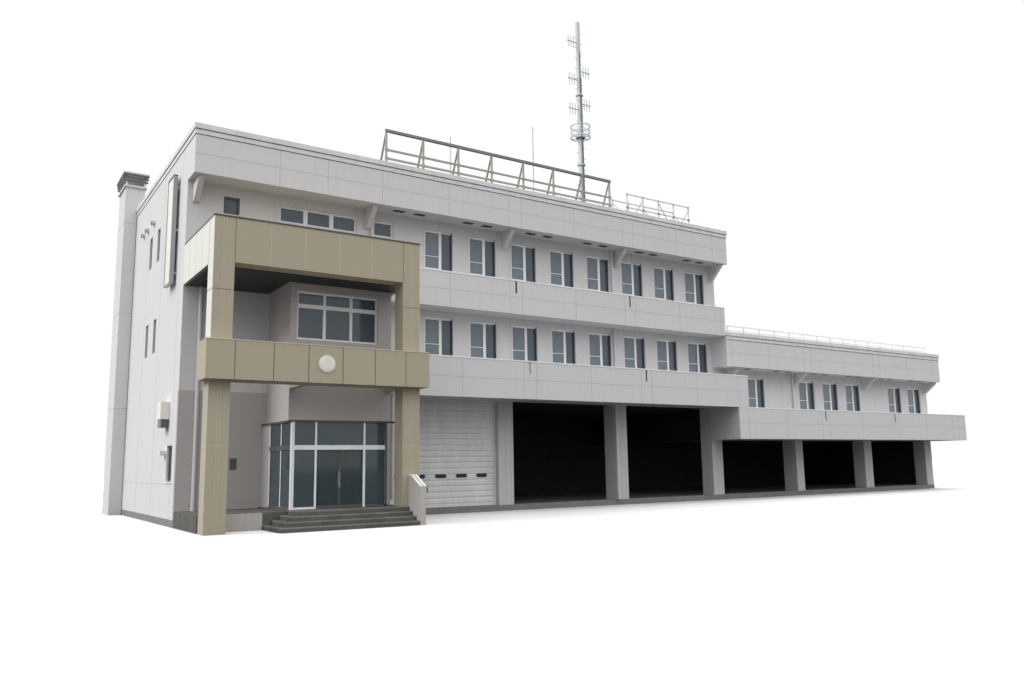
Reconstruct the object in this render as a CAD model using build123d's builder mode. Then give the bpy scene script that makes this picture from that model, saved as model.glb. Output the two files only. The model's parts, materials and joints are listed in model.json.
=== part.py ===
from build123d import *
import os

# Fire station building with engine bays, half of full size, in millimetres.
# +X runs along the street front to the right, +Y into the building, +Z up.
# The origin is the centre of the main block in plan, at the underside of the floor slab.

os.makedirs("parts", exist_ok=True)

# Structure
bay = 3615.0
column = 420.0
depth = 5870.0
wall = 100.0
slab = 100.0
ground_thickness = 140.0
hall_step = 185.0
bay_height = 2435.0
wing_bay_height = 1535.0
floor_zone = 540.0
storey = 2025.0
top_storey = 2100.0
parapet = 475.0
drop_beam = 170.0

main_half = 2 * bay + column / 2
wing_end = 5 * bay + column / 2
front = -depth / 2
rear = depth / 2
ground_top = ground_thickness
hall_top = ground_top + hall_step
bay_soffit = ground_top + bay_height
second_top = bay_soffit + floor_zone
third_top = second_top + storey
roof_top = third_top + top_storey
parapet_top = roof_top + parapet
wing_soffit = ground_top + wing_bay_height
wing_floor_top = wing_soffit + floor_zone
wing_roof_top = wing_floor_top + storey
wing_parapet_top = wing_roof_top + parapet
wing_left = main_half + drop_beam

# Bands and fascias
band_depth = 550.0
canopy_depth = 1065.0
canopy_drip = 25.0
canopy_overrun = 460.0
second_band_height = 855.0
third_band_height = 820.0
third_band_drop = 515.0
fascia_height = 960.0
panel = 75.0
third_band_setback = 220.0
coping = 30.0
coping_lip = 30.0
coping_skirt = 75.0
drip_lip = 12.0
drip_height = 105.0
scupper_width = 50.0
scupper_height = 320.0
scupper_recess = 40.0
bracket_width = 110.0
bracket_reach = 455.0
bracket_drop = 430.0
wing_bracket_drop = 375.0
bracket_tip = 60.0
bracket_foot = 80.0
end_bracket_inset = 160.0
side_bracket_offset = 350.0

third_band_bottom = third_top - third_band_drop
second_band_top = bay_soffit + second_band_height
wing_band_top = bay_soffit - canopy_drip
canopy_front = front - canopy_depth
third_band_right = main_half - third_band_setback
fascia_front = front - band_depth
fascia_bottom = parapet_top - fascia_height
wing_fascia_bottom = wing_parapet_top - fascia_height

# Portal
portal_reach = 2300.0
portal_column_width = 360.0
portal_column_depth = 350.0
portal_inset = 125.0
portal_beam_drop = 10.0
portal_beam_height = 675.0
portal_beam_nose = 200.0
portal_beam_overhang = 110.0
canopy_floor = 125.0
link_width = 150.0
link_height = 200.0

portal_front = front - portal_reach
portal_back = portal_front + portal_column_depth
portal_right = -bay + portal_inset
beam_bottom = bay_soffit - portal_beam_drop
beam_top = beam_bottom + portal_beam_height
canopy_top = third_band_bottom + third_band_height

# Entrance bay and vestibule
entrance_bay_width = 2100.0
entrance_bay_reach = 1325.0
entrance_bay_inset = 25.0
vest_side_overrun = 75.0
vest_width = 1900.0
vest_reach = 1750.0
vest_height = 1585.0
vest_roof = 30.0
vest_eave = 20.0
corner_post = 60.0
side_glass_end = 475.0
side_post = 1180.0
bar = 40.0
fixed_pane = 485.0
door_width = 925.0
transom_height = 1075.0
transom_depth = 85.0
door_gap = 10.0
leaf_thickness = 26.0
leaf_lap = 15.0
meeting_gap = 7.0
leaf_floor_gap = 6.0
leaf_overrun = 10.0
header_gap = 15.0
header_height = 65.0
header_depth = 70.0
header_margin = 10.0
hanger_width = 30.0
hanger_thickness = 16.0
hanger_play = 0.3

bay_right = -bay - entrance_bay_inset
bay_left = bay_right - entrance_bay_width
bay_front = front - entrance_bay_reach
vest_left = bay_left - vest_side_overrun
vest_right = vest_left + vest_width
vest_front = front - vest_reach
vest_top = hall_top + vest_height
vest_side_back = front - side_glass_end
door_left = vest_left + fixed_pane
door_right = door_left + door_width
transom_bottom = hall_top + transom_height
transom_top = transom_bottom + transom_depth
leaf_top = transom_bottom + leaf_overrun
header_bottom = leaf_top + header_gap

# Steps
step_count = 4
going = 150.0
landing_margin = 50.0
landing_reach = 2350.0
plinth_reach = 1800.0
plinth_top = 300.0
side_wall_thickness = 110.0
side_wall_length = 500.0
side_wall_level = 120.0
side_wall_high = 915.0
side_wall_low = 710.0

riser = hall_top / step_count
landing_left = vest_left - landing_margin
landing_front = front - landing_reach
plinth_front = front - plinth_reach
side_wall_right = -bay
side_wall_left = side_wall_right - side_wall_thickness

# Windows
windows_per_bay = 3
window_width = 750.0
window_height = 940.0
second_sill_height = 405.0
third_sill_height = 450.0
wing_sill_height = 390.0
frame_bar = 30.0
mullion = 75.0
frame_depth = 60.0
frame_inset = 40.0
glass = 10.0
glass_lap = 20.0
mullion_shift = 60.0
strip_rise = 595.0
strip_height = 360.0
strip_margin = 150.0
strip_width = 1730.0
corner_window = 705.0
corner_window_width = 320.0
stair_window = 155.0
stair_window_width = 485.0
bay_window_margin = 125.0
bay_window_width = 1680.0
bay_window_sill_height = 400.0
bay_window_height = 950.0
bay_window_light = 285.0
slot_width = 300.0
slot_height = 755.0
slot_rise = 95.0
first_slot = 2600.0
second_slot = 3500.0
low_slot = 345.0
low_slot_width = 475.0
low_slot_sill = 700.0
low_slot_height = 700.0

window_pitch = bay / windows_per_bay
second_sill = second_top + second_sill_height
third_sill = third_top + third_sill_height
wing_sill = wing_floor_top + wing_sill_height
strip_sill = third_sill + strip_rise
strip_head = strip_sill + strip_height
bay_window_sill = second_top + bay_window_sill_height
bay_window_head = bay_window_sill + bay_window_height

# Downpipes
pipe_radius = 37.0
hopper_radius = 75.0
hopper_height = 110.0
foot_gap = 100.0

# Roof equipment
mast_offset = 255.0
mast_setback = 1000.0
mast_radius = 90.0
mast_tip_radius = 64.0
mast_height = 6600.0
mast_foot = 500.0
mast_foot_height = 120.0
platform_rise = 3050.0
platform_radius = 290.0
platform_collar = 40.0
platform_collar_height = 90.0
platform_rail_rise = 325.0
platform_tube = 24.0
platform_spokes = 6
aerial_boom = 24.0
aerial_rod = 8.0
aerial_rod_length = 340.0
aerial_rods = 3
aerial_reach = 400.0
aerial_play = 0.3
aerial_rises = (3890.0, 4100.0, 4800.0, 5100.0, 5950.0)
whip_radius = 16.0
tall_whip_offset = 1685.0
tall_whip_height = 3000.0
short_whip_offset = 4275.0
short_whip_height = 2175.0
sign_setback = 440.0
sign_inset = 255.0
sign_length = 6500.0
sign_bays = 7
sign_tube = 40.0
sign_rail = 60.0
sign_height = 1315.0
sign_mid_rise = 840.0
sign_base_rise = 640.0
strut_reach = 330.0
strut_drop = 60.0
strut_foot_rise = 545.0
screen_tube = 30.0
screen_gap = 1015.0
screen_end = 645.0
screen_setback = 250.0
screen_depth = 620.0
screen_height = 1360.0
screen_mid_rise = 960.0
screen_cross_rise = 500.0
screen_posts = 5
handrail_reach = 300.0
handrail_height = 760.0
handrail_tube = 24.0
handrail_mid_rise = 610.0
handrail_bays = 15
handrail_margin = 325.0

mast_x = bay - mast_offset
mast_y = front + mast_setback
platform_level = roof_top + platform_rise

# Chimney and side sign
chimney_width = 460.0
chimney_depth = 1000.0
chimney_overlap = 160.0
chimney_height = 600.0
chimney_cap = 50.0
chimney_lip = 40.0
hood_leg = 40.0
hood_gap = 295.0
hood_thickness = 40.0
hood_lip = 80.0
side_sign_gap = 60.0
side_sign_thickness = 60.0
side_sign_start = 700.0
side_sign_width = 550.0
side_sign_height = 2250.0
side_sign_drop = 350.0
sign_arm = 40.0

chimney_left = -main_half + chimney_overlap - chimney_width
chimney_right = -main_half + chimney_overlap
chimney_top = parapet_top + chimney_height
side_sign_bottom = third_top - side_sign_drop
side_sign_right = -main_half - side_sign_gap
side_sign_left = side_sign_right - side_sign_thickness

front_rows = [window_pitch * (n + 0.5) for n in range(-2, 6)]
rear_rows = [window_pitch * (n + 0.5) for n in range(-6, 6)]
wing_rows = [window_pitch * (n + 0.5) for n in (7, 9, 10, 11, 13, 14)]
wing_rear_rows = [window_pitch * (n + 0.5) for n in range(7, 15)]


def block(x0, x1, y0, y1, z0, z1, mode=Mode.ADD):
    """Block between two faces on each axis."""
    with Locations(((x0 + x1) / 2, (y0 + y1) / 2, (z0 + z1) / 2)):
        Box(x1 - x0, y1 - y0, z1 - z0, mode=mode)


def upright(x, y, z0, z1, radius):
    """Round post standing between two levels."""
    with Locations((x, y, (z0 + z1) / 2)):
        Cylinder(radius, z1 - z0)


def patch(a0, a1, b0, b1, mode=Mode.ADD):
    """Rectangle of a sketch between two lines on each axis."""
    with Locations(((a0 + a1) / 2, (b0 + b1) / 2)):
        Rectangle(a1 - a0, b1 - b0, mode=mode)


def cross_wall(x0, x1, y0, y1, z0, z1, holes):
    """Wall facing front or rear, pierced by the given rectangles."""
    with BuildSketch(Plane.XZ.offset(-y1)) as elevation:
        patch(x0, x1, z0, z1)
        for hole in holes:
            patch(*hole, mode=Mode.SUBTRACT)
    extrude(elevation.sketch, amount=y1 - y0)


def side_wall(x0, x1, y0, y1, z0, z1, holes):
    """Wall facing left or right, pierced by the given rectangles."""
    with BuildSketch(Plane.YZ.offset(x0)) as elevation:
        patch(y0, y1, z0, z1)
        for hole in holes:
            patch(*hole, mode=Mode.SUBTRACT)
    extrude(elevation.sketch, amount=x1 - x0)


def row_holes(centres, sill):
    """Openings of one row of windows."""
    half = window_width / 2
    return [(x - half, x + half, sill, sill + window_height) for x in centres]


def sash_row(centres, sill, y1):
    """Two-leaf window frames along one row, with their backs at y1."""
    level = sill + window_height / 2
    clear = window_height - 2 * frame_bar
    left = (window_width - mullion) / 2 - frame_bar + mullion_shift
    right = (window_width - mullion) / 2 - frame_bar - mullion_shift
    with BuildSketch(Plane.XZ.offset(-y1)) as sash:
        with Locations([(x, level) for x in centres]):
            Rectangle(window_width, window_height)
        start = -window_width / 2 + frame_bar
        with Locations([(x + start + left / 2, level) for x in centres]):
            Rectangle(left, clear, mode=Mode.SUBTRACT)
        with Locations([(x - start - right / 2, level) for x in centres]):
            Rectangle(right, clear, mode=Mode.SUBTRACT)
    extrude(sash.sketch, amount=frame_depth)


def sash(x0, x1, z0, z1, y1, leaves):
    """Frame of one window with leaves of equal width, its back at y1."""
    step = (x1 - x0 - 2 * frame_bar + mullion) / leaves
    with BuildSketch(Plane.XZ.offset(-y1)) as outline:
        patch(x0, x1, z0, z1)
        for i in range(leaves):
            start = x0 + frame_bar + i * step
            patch(start, start + step - mullion, z0 + frame_bar, z1 - frame_bar,
                  mode=Mode.SUBTRACT)
    extrude(outline.sketch, amount=frame_depth)


def side_sash(y0, y1, z0, z1, x0):
    """Frame of one window in a side wall."""
    with BuildSketch(Plane.YZ.offset(x0)) as outline:
        patch(y0, y1, z0, z1)
        patch(y0 + frame_bar, y1 - frame_bar, z0 + frame_bar, z1 - frame_bar,
              mode=Mode.SUBTRACT)
    extrude(outline.sketch, amount=frame_depth)


def bracket(x, top, drop):
    """Tapering bracket between the front wall and the soffit of an overhang."""
    with BuildSketch(Plane.YZ.offset(x - bracket_width / 2)) as profile:
        with BuildLine():
            Polyline((front, top), (front - bracket_reach, top),
                     (front - bracket_reach, top - bracket_tip),
                     (front - bracket_foot, top - drop), (front, top - drop), close=True)
        make_face()
    extrude(profile.sketch, amount=bracket_width)


def scupper(x, face, top):
    """Drainage slot in the face of a band, open at its upper edge."""
    block(x - scupper_width / 2, x + scupper_width / 2, face, face + scupper_recess,
          top - scupper_height, top, mode=Mode.SUBTRACT)


def overhang(x0, x1, bottom, top, soffit):
    """Hanging fascia with its closed soffit and end cheeks."""
    inner = fascia_front + panel
    block(x0, x1, fascia_front, inner, bottom, top)
    block(x0 + wall, x1 - wall, inner, front, bottom, bottom + soffit)
    for x in (x0, x1 - wall):
        block(x, x + wall, inner, front, bottom, top)


second_slots = (second_sill + slot_rise, second_sill + slot_rise + slot_height)
third_slots = (third_sill + slot_rise, third_sill + slot_rise + slot_height)
slot_starts = [front + first_slot, front + second_slot]
low_window = (front + low_slot, front + low_slot + low_slot_width,
              ground_top + low_slot_sill, ground_top + low_slot_sill + low_slot_height)
left_windows = [(y, y + slot_width, z0, z1) for y in slot_starts
                for z0, z1 in (second_slots, third_slots)]
right_windows = [(y, y + slot_width, *third_slots) for y in slot_starts]
corner_light = (-main_half + corner_window,
                -main_half + corner_window + corner_window_width, strip_sill, strip_head)
strip_light = (bay_left + strip_margin, bay_left + strip_margin + strip_width,
               strip_sill, strip_head)
stair_light = (-bay + stair_window, -bay + stair_window + stair_window_width,
               strip_sill, strip_head)
bay_light = (bay_left + bay_window_margin, bay_left + bay_window_margin + bay_window_width,
             bay_window_sill, bay_window_head)

# Floors and columns

with BuildPart() as ground_slab:
    block(-main_half, wing_end, front, rear, 0, ground_top)
    block(-main_half + wall, -bay - column / 2, front + wall, rear - wall,
          ground_top, hall_top)
ground_slab.part.label = "ground_slab"
export_step(ground_slab.part, "parts/ground_slab.step")

with BuildPart() as bay_columns:
    with BuildSketch(Plane.XY.offset(ground_top)):
        with Locations([(n * bay, front + column / 2) for n in (-1, 0, 1, 2)]):
            Rectangle(column, column)
    extrude(amount=bay_height)
    with BuildSketch(Plane.XY.offset(ground_top)):
        with Locations([(n * bay, front + column / 2) for n in (3, 4, 5)]):
            Rectangle(column, column)
    extrude(amount=wing_bay_height)
bay_columns.part.label = "bay_columns"
export_step(bay_columns.part, "parts/bay_columns.step")

with BuildPart() as second_floor_slab:
    block(-main_half + wall, main_half - wall, front + wall, rear - wall,
          second_top - slab, second_top)
    block(bay_left + wall, bay_right - wall, bay_front + wall, front + wall,
          second_top - slab, second_top)
second_floor_slab.part.label = "second_floor_slab"
export_step(second_floor_slab.part, "parts/second_floor_slab.step")

with BuildPart() as third_floor_slab:
    block(-main_half + wall, main_half - wall, front + wall, rear - wall,
          third_top - slab, third_top)
third_floor_slab.part.label = "third_floor_slab"
export_step(third_floor_slab.part, "parts/third_floor_slab.step")

with BuildPart() as main_roof_slab:
    block(-main_half + wall, main_half - wall, fascia_front + panel, rear - wall,
          roof_top - slab, roof_top)
main_roof_slab.part.label = "main_roof_slab"
export_step(main_roof_slab.part, "parts/main_roof_slab.step")

with BuildPart() as wing_floor_slab:
    block(wing_left, wing_end - wall, front + wall, rear - wall,
          wing_floor_top - slab, wing_floor_top)
    block(main_half, wing_left, front + wall, rear - wall, wing_soffit, bay_soffit)
wing_floor_slab.part.label = "wing_floor_slab"
export_step(wing_floor_slab.part, "parts/wing_floor_slab.step")

with BuildPart() as wing_roof_slab:
    block(main_half, wing_end - wall, front, rear - wall,
          wing_roof_top - slab, wing_roof_top)
    block(third_band_right + wall, wing_end - wall, fascia_front + panel, front,
          wing_roof_top - slab, wing_roof_top)
wing_roof_slab.part.label = "wing_roof_slab"
export_step(wing_roof_slab.part, "parts/wing_roof_slab.step")

# Main block walls

with BuildPart() as front_wall:
    bay_room_opening = (bay_left + wall, bay_right - wall, second_top - slab,
                        third_band_bottom - slab)
    cross_wall(-main_half, main_half, front, front + wall, bay_soffit, roof_top - slab,
               row_holes(front_rows, second_sill) + row_holes(front_rows, third_sill)
               + [corner_light, strip_light, stair_light, bay_room_opening])
front_wall.part.label = "front_wall"
export_step(front_wall.part, "parts/front_wall.step")

with BuildPart() as entrance_wall:
    cross_wall(-main_half, -bay - column / 2, front, front + wall, ground_top, bay_soffit,
               [(vest_left + wall, vest_right, hall_top, vest_top)])
entrance_wall.part.label = "entrance_wall"
export_step(entrance_wall.part, "parts/entrance_wall.step")

with BuildPart() as left_wall:
    side_wall(-main_half, -main_half + wall, front + wall, rear - wall,
              ground_top, parapet_top, left_windows + [low_window])
left_wall.part.label = "left_wall"
export_step(left_wall.part, "parts/left_wall.step")

with BuildPart() as rear_wall:
    cross_wall(-main_half, main_half, rear - wall, rear, ground_top, parapet_top,
               row_holes(rear_rows, second_sill) + row_holes(rear_rows, third_sill))
rear_wall.part.label = "rear_wall"
export_step(rear_wall.part, "parts/rear_wall.step")

with BuildPart() as right_wall:
    side_wall(main_half - wall, main_half, front + wall, rear - wall,
              bay_soffit, parapet_top, right_windows)
right_wall.part.label = "right_wall"
export_step(right_wall.part, "parts/right_wall.step")

# Wing walls

with BuildPart() as wing_front_wall:
    cross_wall(main_half, wing_end, front, front + wall, wing_soffit,
               wing_roof_top - slab, row_holes(wing_rows, wing_sill))
wing_front_wall.part.label = "wing_front_wall"
export_step(wing_front_wall.part, "parts/wing_front_wall.step")

with BuildPart() as wing_end_wall:
    with BuildSketch(Plane.YZ.offset(wing_end - wall)):
        patch(front + wall, rear - wall, ground_top, wing_parapet_top)
        patch(front + wall, front + column, ground_top, wing_soffit, mode=Mode.SUBTRACT)
    extrude(amount=wall)
wing_end_wall.part.label = "wing_end_wall"
export_step(wing_end_wall.part, "parts/wing_end_wall.step")

with BuildPart() as wing_rear_wall:
    cross_wall(main_half, wing_end, rear - wall, rear, ground_top, wing_parapet_top,
               row_holes(wing_rear_rows, wing_sill))
wing_rear_wall.part.label = "wing_rear_wall"
export_step(wing_rear_wall.part, "parts/wing_rear_wall.step")

# Band and fascia solids

with BuildPart() as second_floor_band:
    block(bay_right, main_half, canopy_front, front, bay_soffit, second_band_top)
    block(bay_right, main_half, canopy_front, canopy_front + panel, wing_band_top, bay_soffit)
    scupper(0, canopy_front, second_band_top)
    scupper(bay, canopy_front, second_band_top)
second_floor_band.part.label = "second_floor_band"
export_step(second_floor_band.part, "parts/second_floor_band.step")

with BuildPart() as third_floor_band:
    block(portal_right, third_band_right, fascia_front, front,
          third_band_bottom, canopy_top)
    scupper(0, fascia_front, canopy_top)
    scupper(bay, fascia_front, canopy_top)
third_floor_band.part.label = "third_floor_band"
export_step(third_floor_band.part, "parts/third_floor_band.step")

with BuildPart() as wing_band:
    band_left = main_half - column
    block(band_left, wing_end + canopy_overrun, canopy_front, front, wing_soffit, wing_band_top)
    block(band_left, main_half, canopy_front + panel, front, wing_band_top, bay_soffit)
    scupper(3 * bay, canopy_front, wing_band_top)
    scupper(4 * bay, canopy_front, wing_band_top)
wing_band.part.label = "wing_band"
export_step(wing_band.part, "parts/wing_band.step")

with BuildPart() as roof_fascia:
    overhang(-main_half, main_half, fascia_bottom, parapet_top, panel)
    for x in (-main_half, main_half - wall):
        block(x, x + wall, front, front + wall, roof_top - slab, parapet_top)
roof_fascia.part.label = "roof_fascia"
export_step(roof_fascia.part, "parts/roof_fascia.step")

with BuildPart() as wing_fascia:
    overhang(third_band_right, wing_end, wing_fascia_bottom, wing_parapet_top, panel)
    block(wing_end - wall, wing_end, front, front + wall,
          wing_roof_top - slab, wing_parapet_top)
wing_fascia.part.label = "wing_fascia"
export_step(wing_fascia.part, "parts/wing_fascia.step")

with BuildPart() as copings:
    main_skirts = ((coping_lip, parapet_top - coping_skirt, parapet_top),
                   (drip_lip, parapet_top - coping_skirt - drip_height,
                    parapet_top - coping_skirt))
    with BuildSketch(Plane.XY.offset(parapet_top)):
        patch(-main_half - coping_lip, main_half + coping_lip,
              fascia_front - coping_lip, rear)
        patch(-main_half + wall, main_half - wall, fascia_front + panel, rear - wall,
              mode=Mode.SUBTRACT)
    extrude(amount=coping)
    for lip, z0, z1 in main_skirts:
        with BuildSketch(Plane.XY.offset(z0)):
            patch(-main_half - lip, main_half + lip, fascia_front - lip, rear)
            patch(-main_half, main_half, fascia_front, rear, mode=Mode.SUBTRACT)
        extrude(amount=z1 - z0)
    wing_skirts = ((coping_lip, wing_parapet_top - coping_skirt, wing_parapet_top),
                   (drip_lip, wing_parapet_top - coping_skirt - drip_height,
                    wing_parapet_top - coping_skirt))
    with BuildSketch(Plane.XY.offset(wing_parapet_top)):
        patch(main_half, wing_end + coping_lip, fascia_front - coping_lip, rear)
        patch(third_band_right, main_half, fascia_front - coping_lip, front)
        patch(main_half, wing_end - wall, fascia_front + panel, rear - wall,
              mode=Mode.SUBTRACT)
        patch(third_band_right + wall, main_half, fascia_front + panel, front,
              mode=Mode.SUBTRACT)
    extrude(amount=coping)
    for lip, z0, z1 in wing_skirts:
        with BuildSketch(Plane.XY.offset(z0)):
            patch(third_band_right, wing_end + lip, fascia_front - lip, rear)
            patch(third_band_right, wing_end, fascia_front, rear, mode=Mode.SUBTRACT)
        extrude(amount=z1 - z0)
copings.part.label = "copings"
export_step(copings.part, "parts/copings.step")

with BuildPart() as eaves_brackets:
    for x in (-main_half + end_bracket_inset, -bay, 0, bay, main_half - end_bracket_inset):
        bracket(x, fascia_bottom, bracket_drop)
    for x in (main_half + side_bracket_offset, 3 * bay, 4 * bay, wing_end - end_bracket_inset):
        bracket(x, wing_fascia_bottom, wing_bracket_drop)
eaves_brackets.part.label = "eaves_brackets"
export_step(eaves_brackets.part, "parts/eaves_brackets.step")

# Portal solids

with BuildPart() as portal_columns:
    for z0, z1 in ((0, beam_bottom), (beam_top, third_band_bottom)):
        with BuildSketch(Plane.XY.offset(z0)):
            for x in (-main_half, portal_right - portal_column_width):
                patch(x, x + portal_column_width, portal_front, portal_back)
        extrude(amount=z1 - z0)
portal_columns.part.label = "portal_columns"
export_step(portal_columns.part, "parts/portal_columns.step")

with BuildPart() as portal_beam:
    block(-main_half - portal_beam_overhang, portal_right + portal_beam_overhang,
          portal_front - portal_beam_nose, portal_back, beam_bottom, beam_top)
    for x in (bay_left, bay_right - link_width):
        block(x, x + link_width, portal_back, bay_front,
              beam_bottom, beam_bottom + link_height)
portal_beam.part.label = "portal_beam"
export_step(portal_beam.part, "parts/portal_beam.step")

with BuildPart() as portal_canopy:
    block(-main_half, portal_right, portal_front, front, third_band_bottom, canopy_top)
    block(-main_half + panel, portal_right - panel, portal_front + panel, front,
          third_band_bottom + canopy_floor, canopy_top, mode=Mode.SUBTRACT)
portal_canopy.part.label = "portal_canopy"
export_step(portal_canopy.part, "parts/portal_canopy.step")

with BuildPart() as entrance_bay_walls:
    vest_cover = vest_top + vest_roof
    cross_wall(bay_left, bay_right, bay_front, bay_front + wall,
               vest_cover, third_band_bottom, [bay_light])
    for x in (bay_left, bay_right - wall):
        block(x, x + wall, bay_front + wall, front, vest_cover, third_band_bottom)
    with BuildSketch(Plane.XY.offset(hall_top)):
        patch(bay_right - wall, bay_right, bay_front, front)
        patch(vest_right, bay_right, bay_front, bay_front + wall)
    extrude(amount=vest_height + vest_roof)
    block(vest_left, vest_left + wall, vest_side_back, front, hall_top, vest_top)
entrance_bay_walls.part.label = "entrance_bay_walls"
export_step(entrance_bay_walls.part, "parts/entrance_bay_walls.step")

# Step solids

with BuildPart() as entrance_steps:
    for k in range(step_count):
        with BuildSketch():
            patch(landing_left - k * going, side_wall_left,
                  landing_front - k * going, plinth_front)
        extrude(amount=hall_top - k * riser)
    with BuildSketch():
        patch(landing_left, bay_right, plinth_front, front)
        patch(side_wall_left, bay_right, portal_back, plinth_front)
    extrude(amount=hall_top)
    block(portal_right - portal_column_width, portal_right, portal_front, portal_back,
          0, hall_top, mode=Mode.SUBTRACT)
    block(-main_half, landing_left, plinth_front, front, 0, plinth_top)
entrance_steps.part.label = "entrance_steps"
export_step(entrance_steps.part, "parts/entrance_steps.step")

with BuildPart() as steps_side_wall:
    nose = portal_front - side_wall_length
    with BuildSketch(Plane.YZ.offset(side_wall_left)):
        with BuildLine():
            Polyline((nose, 0), (portal_front, 0), (portal_front, side_wall_high),
                     (portal_front - side_wall_level, side_wall_high),
                     (nose, side_wall_low), close=True)
        make_face()
    extrude(amount=side_wall_thickness)
steps_side_wall.part.label = "steps_side_wall"
export_step(steps_side_wall.part, "parts/steps_side_wall.step")

# Vestibule solids

with BuildPart() as vestibule_frame:
    with BuildSketch(Plane.XY.offset(vest_top)):
        patch(vest_left - vest_eave, vest_right, vest_front - vest_eave, front)
        patch(vest_right, bay_right - wall, bay_front + wall, front)
    extrude(amount=vest_roof)
    with BuildSketch(Plane.XZ.offset(-(vest_front + bar))):
        patch(vest_left, vest_right, hall_top, vest_top)
        for x0, x1 in ((vest_left + corner_post, door_left - bar),
                       (door_right + bar, vest_right - bar)):
            patch(x0, x1, hall_top + bar, transom_bottom, mode=Mode.SUBTRACT)
            patch(x0, x1, transom_top, vest_top, mode=Mode.SUBTRACT)
        patch(door_left, door_right, hall_top, transom_bottom, mode=Mode.SUBTRACT)
        patch(door_left, door_right, transom_top, vest_top, mode=Mode.SUBTRACT)
    extrude(amount=bar)
    with BuildSketch(Plane.YZ.offset(vest_left)):
        patch(vest_front, vest_side_back, hall_top, vest_top)
        for y0, y1 in ((vest_front + corner_post, front - side_post),
                       (front - side_post + bar, vest_side_back - bar)):
            patch(y0, y1, hall_top + bar, transom_bottom, mode=Mode.SUBTRACT)
            patch(y0, y1, transom_top, vest_top, mode=Mode.SUBTRACT)
    extrude(amount=bar)
    with BuildSketch(Plane.YZ.offset(vest_right - bar)):
        patch(vest_front, bay_front, hall_top, vest_top)
        patch(vest_front + bar, bay_front, hall_top + bar, transom_bottom,
              mode=Mode.SUBTRACT)
        patch(vest_front + bar, bay_front, transom_top, vest_top, mode=Mode.SUBTRACT)
    extrude(amount=bar)
    block(vest_left + bar + header_margin, vest_right - bar - header_margin,
          vest_front + bar, vest_front + bar + header_depth,
          header_bottom, header_bottom + header_height)
vestibule_frame.part.label = "vestibule_frame"
export_step(vestibule_frame.part, "parts/vestibule_frame.step")

with BuildPart() as vestibule_glass:
    pane_y = vest_front + (bar - glass) / 2
    side_x = vest_left + (bar - glass) / 2
    end_x = vest_right - (bar + glass) / 2
    for z0, z1 in ((hall_top + bar, transom_bottom), (transom_top, vest_top)):
        with BuildSketch(Plane.XY.offset(z0)):
            patch(vest_left + corner_post, door_left - bar, pane_y, pane_y + glass)
            patch(door_right + bar, vest_right - bar, pane_y, pane_y + glass)
            patch(side_x, side_x + glass, vest_front + corner_post, front - side_post)
            patch(side_x, side_x + glass, front - side_post + bar, vest_side_back - bar)
            patch(end_x, end_x + glass, vest_front + bar, bay_front)
        extrude(amount=z1 - z0)
    block(door_left, door_right, pane_y, pane_y + glass, transom_top, vest_top)
vestibule_glass.part.label = "vestibule_glass"
export_step(vestibule_glass.part, "parts/vestibule_glass.step")

leaf_middle = (door_left + door_right) / 2


def leaf(x0, x1):
    """Sliding door leaf hung from the header by two hangers."""
    y0 = vest_front + bar + door_gap
    block(x0, x1, y0, y0 + leaf_thickness, hall_top + leaf_floor_gap, leaf_top)
    quarter = (x1 - x0) / 4
    middle = y0 + leaf_thickness / 2
    for x in (x0 + quarter, x1 - quarter):
        block(x - hanger_width / 2, x + hanger_width / 2, middle - hanger_thickness / 2,
              middle + hanger_thickness / 2, leaf_top, header_bottom - hanger_play)


with BuildPart() as door_leaf_left:
    leaf(door_left - leaf_lap, leaf_middle - meeting_gap / 2)
door_leaf_left.part.label = "door_leaf_left"
export_step(door_leaf_left.part, "parts/door_leaf_left.step")

with BuildPart() as door_leaf_right:
    leaf(leaf_middle + meeting_gap / 2, door_right + leaf_lap)
door_leaf_right.part.label = "door_leaf_right"
export_step(door_leaf_right.part, "parts/door_leaf_right.step")

# Shutter

shutter_setback = 170.0
shutter_thickness = 30.0
shutter_box_setback = 100.0
shutter_box_depth = 300.0
shutter_box_show = 45.0
shutter_box_height = 245.0

with BuildPart() as roller_shutter:
    shutter_left = -bay + column / 2
    shutter_right = -column / 2
    block(shutter_left, shutter_right, front + shutter_setback,
          front + shutter_setback + shutter_thickness,
          ground_top, bay_soffit - shutter_box_show)
    block(shutter_left, shutter_right, front + shutter_box_setback,
          front + shutter_box_setback + shutter_box_depth,
          bay_soffit - shutter_box_show,
          bay_soffit - shutter_box_show + shutter_box_height)
roller_shutter.part.label = "roller_shutter"
export_step(roller_shutter.part, "parts/roller_shutter.step")

# Window solids

with BuildPart() as main_window_frames:
    front_back = front + frame_inset + frame_depth
    rear_back = rear - frame_inset
    for sill in (second_sill, third_sill):
        sash_row(front_rows, sill, front_back)
        sash_row(rear_rows, sill, rear_back)
    sash(*corner_light, front_back, 1)
    sash(*strip_light, front_back, 3)
    sash(*stair_light, front_back, 1)
    bay_back = bay_front + frame_inset + frame_depth
    light_bottom = bay_window_head - bay_window_light
    sash(bay_light[0], bay_light[1], bay_window_sill, light_bottom, bay_back, 3)
    sash(bay_light[0], bay_light[1], light_bottom, bay_window_head, bay_back, 3)
    for hole in left_windows + [low_window]:
        side_sash(*hole, -main_half + frame_inset)
    for hole in right_windows:
        side_sash(*hole, main_half - frame_inset - frame_depth)
main_window_frames.part.label = "main_window_frames"
export_step(main_window_frames.part, "parts/main_window_frames.step")

with BuildPart() as wing_window_frames:
    sash_row(wing_rows, wing_sill, front + frame_inset + frame_depth)
    sash_row(wing_rear_rows, wing_sill, rear - frame_inset)
wing_window_frames.part.label = "wing_window_frames"
export_step(wing_window_frames.part, "parts/wing_window_frames.step")

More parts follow.
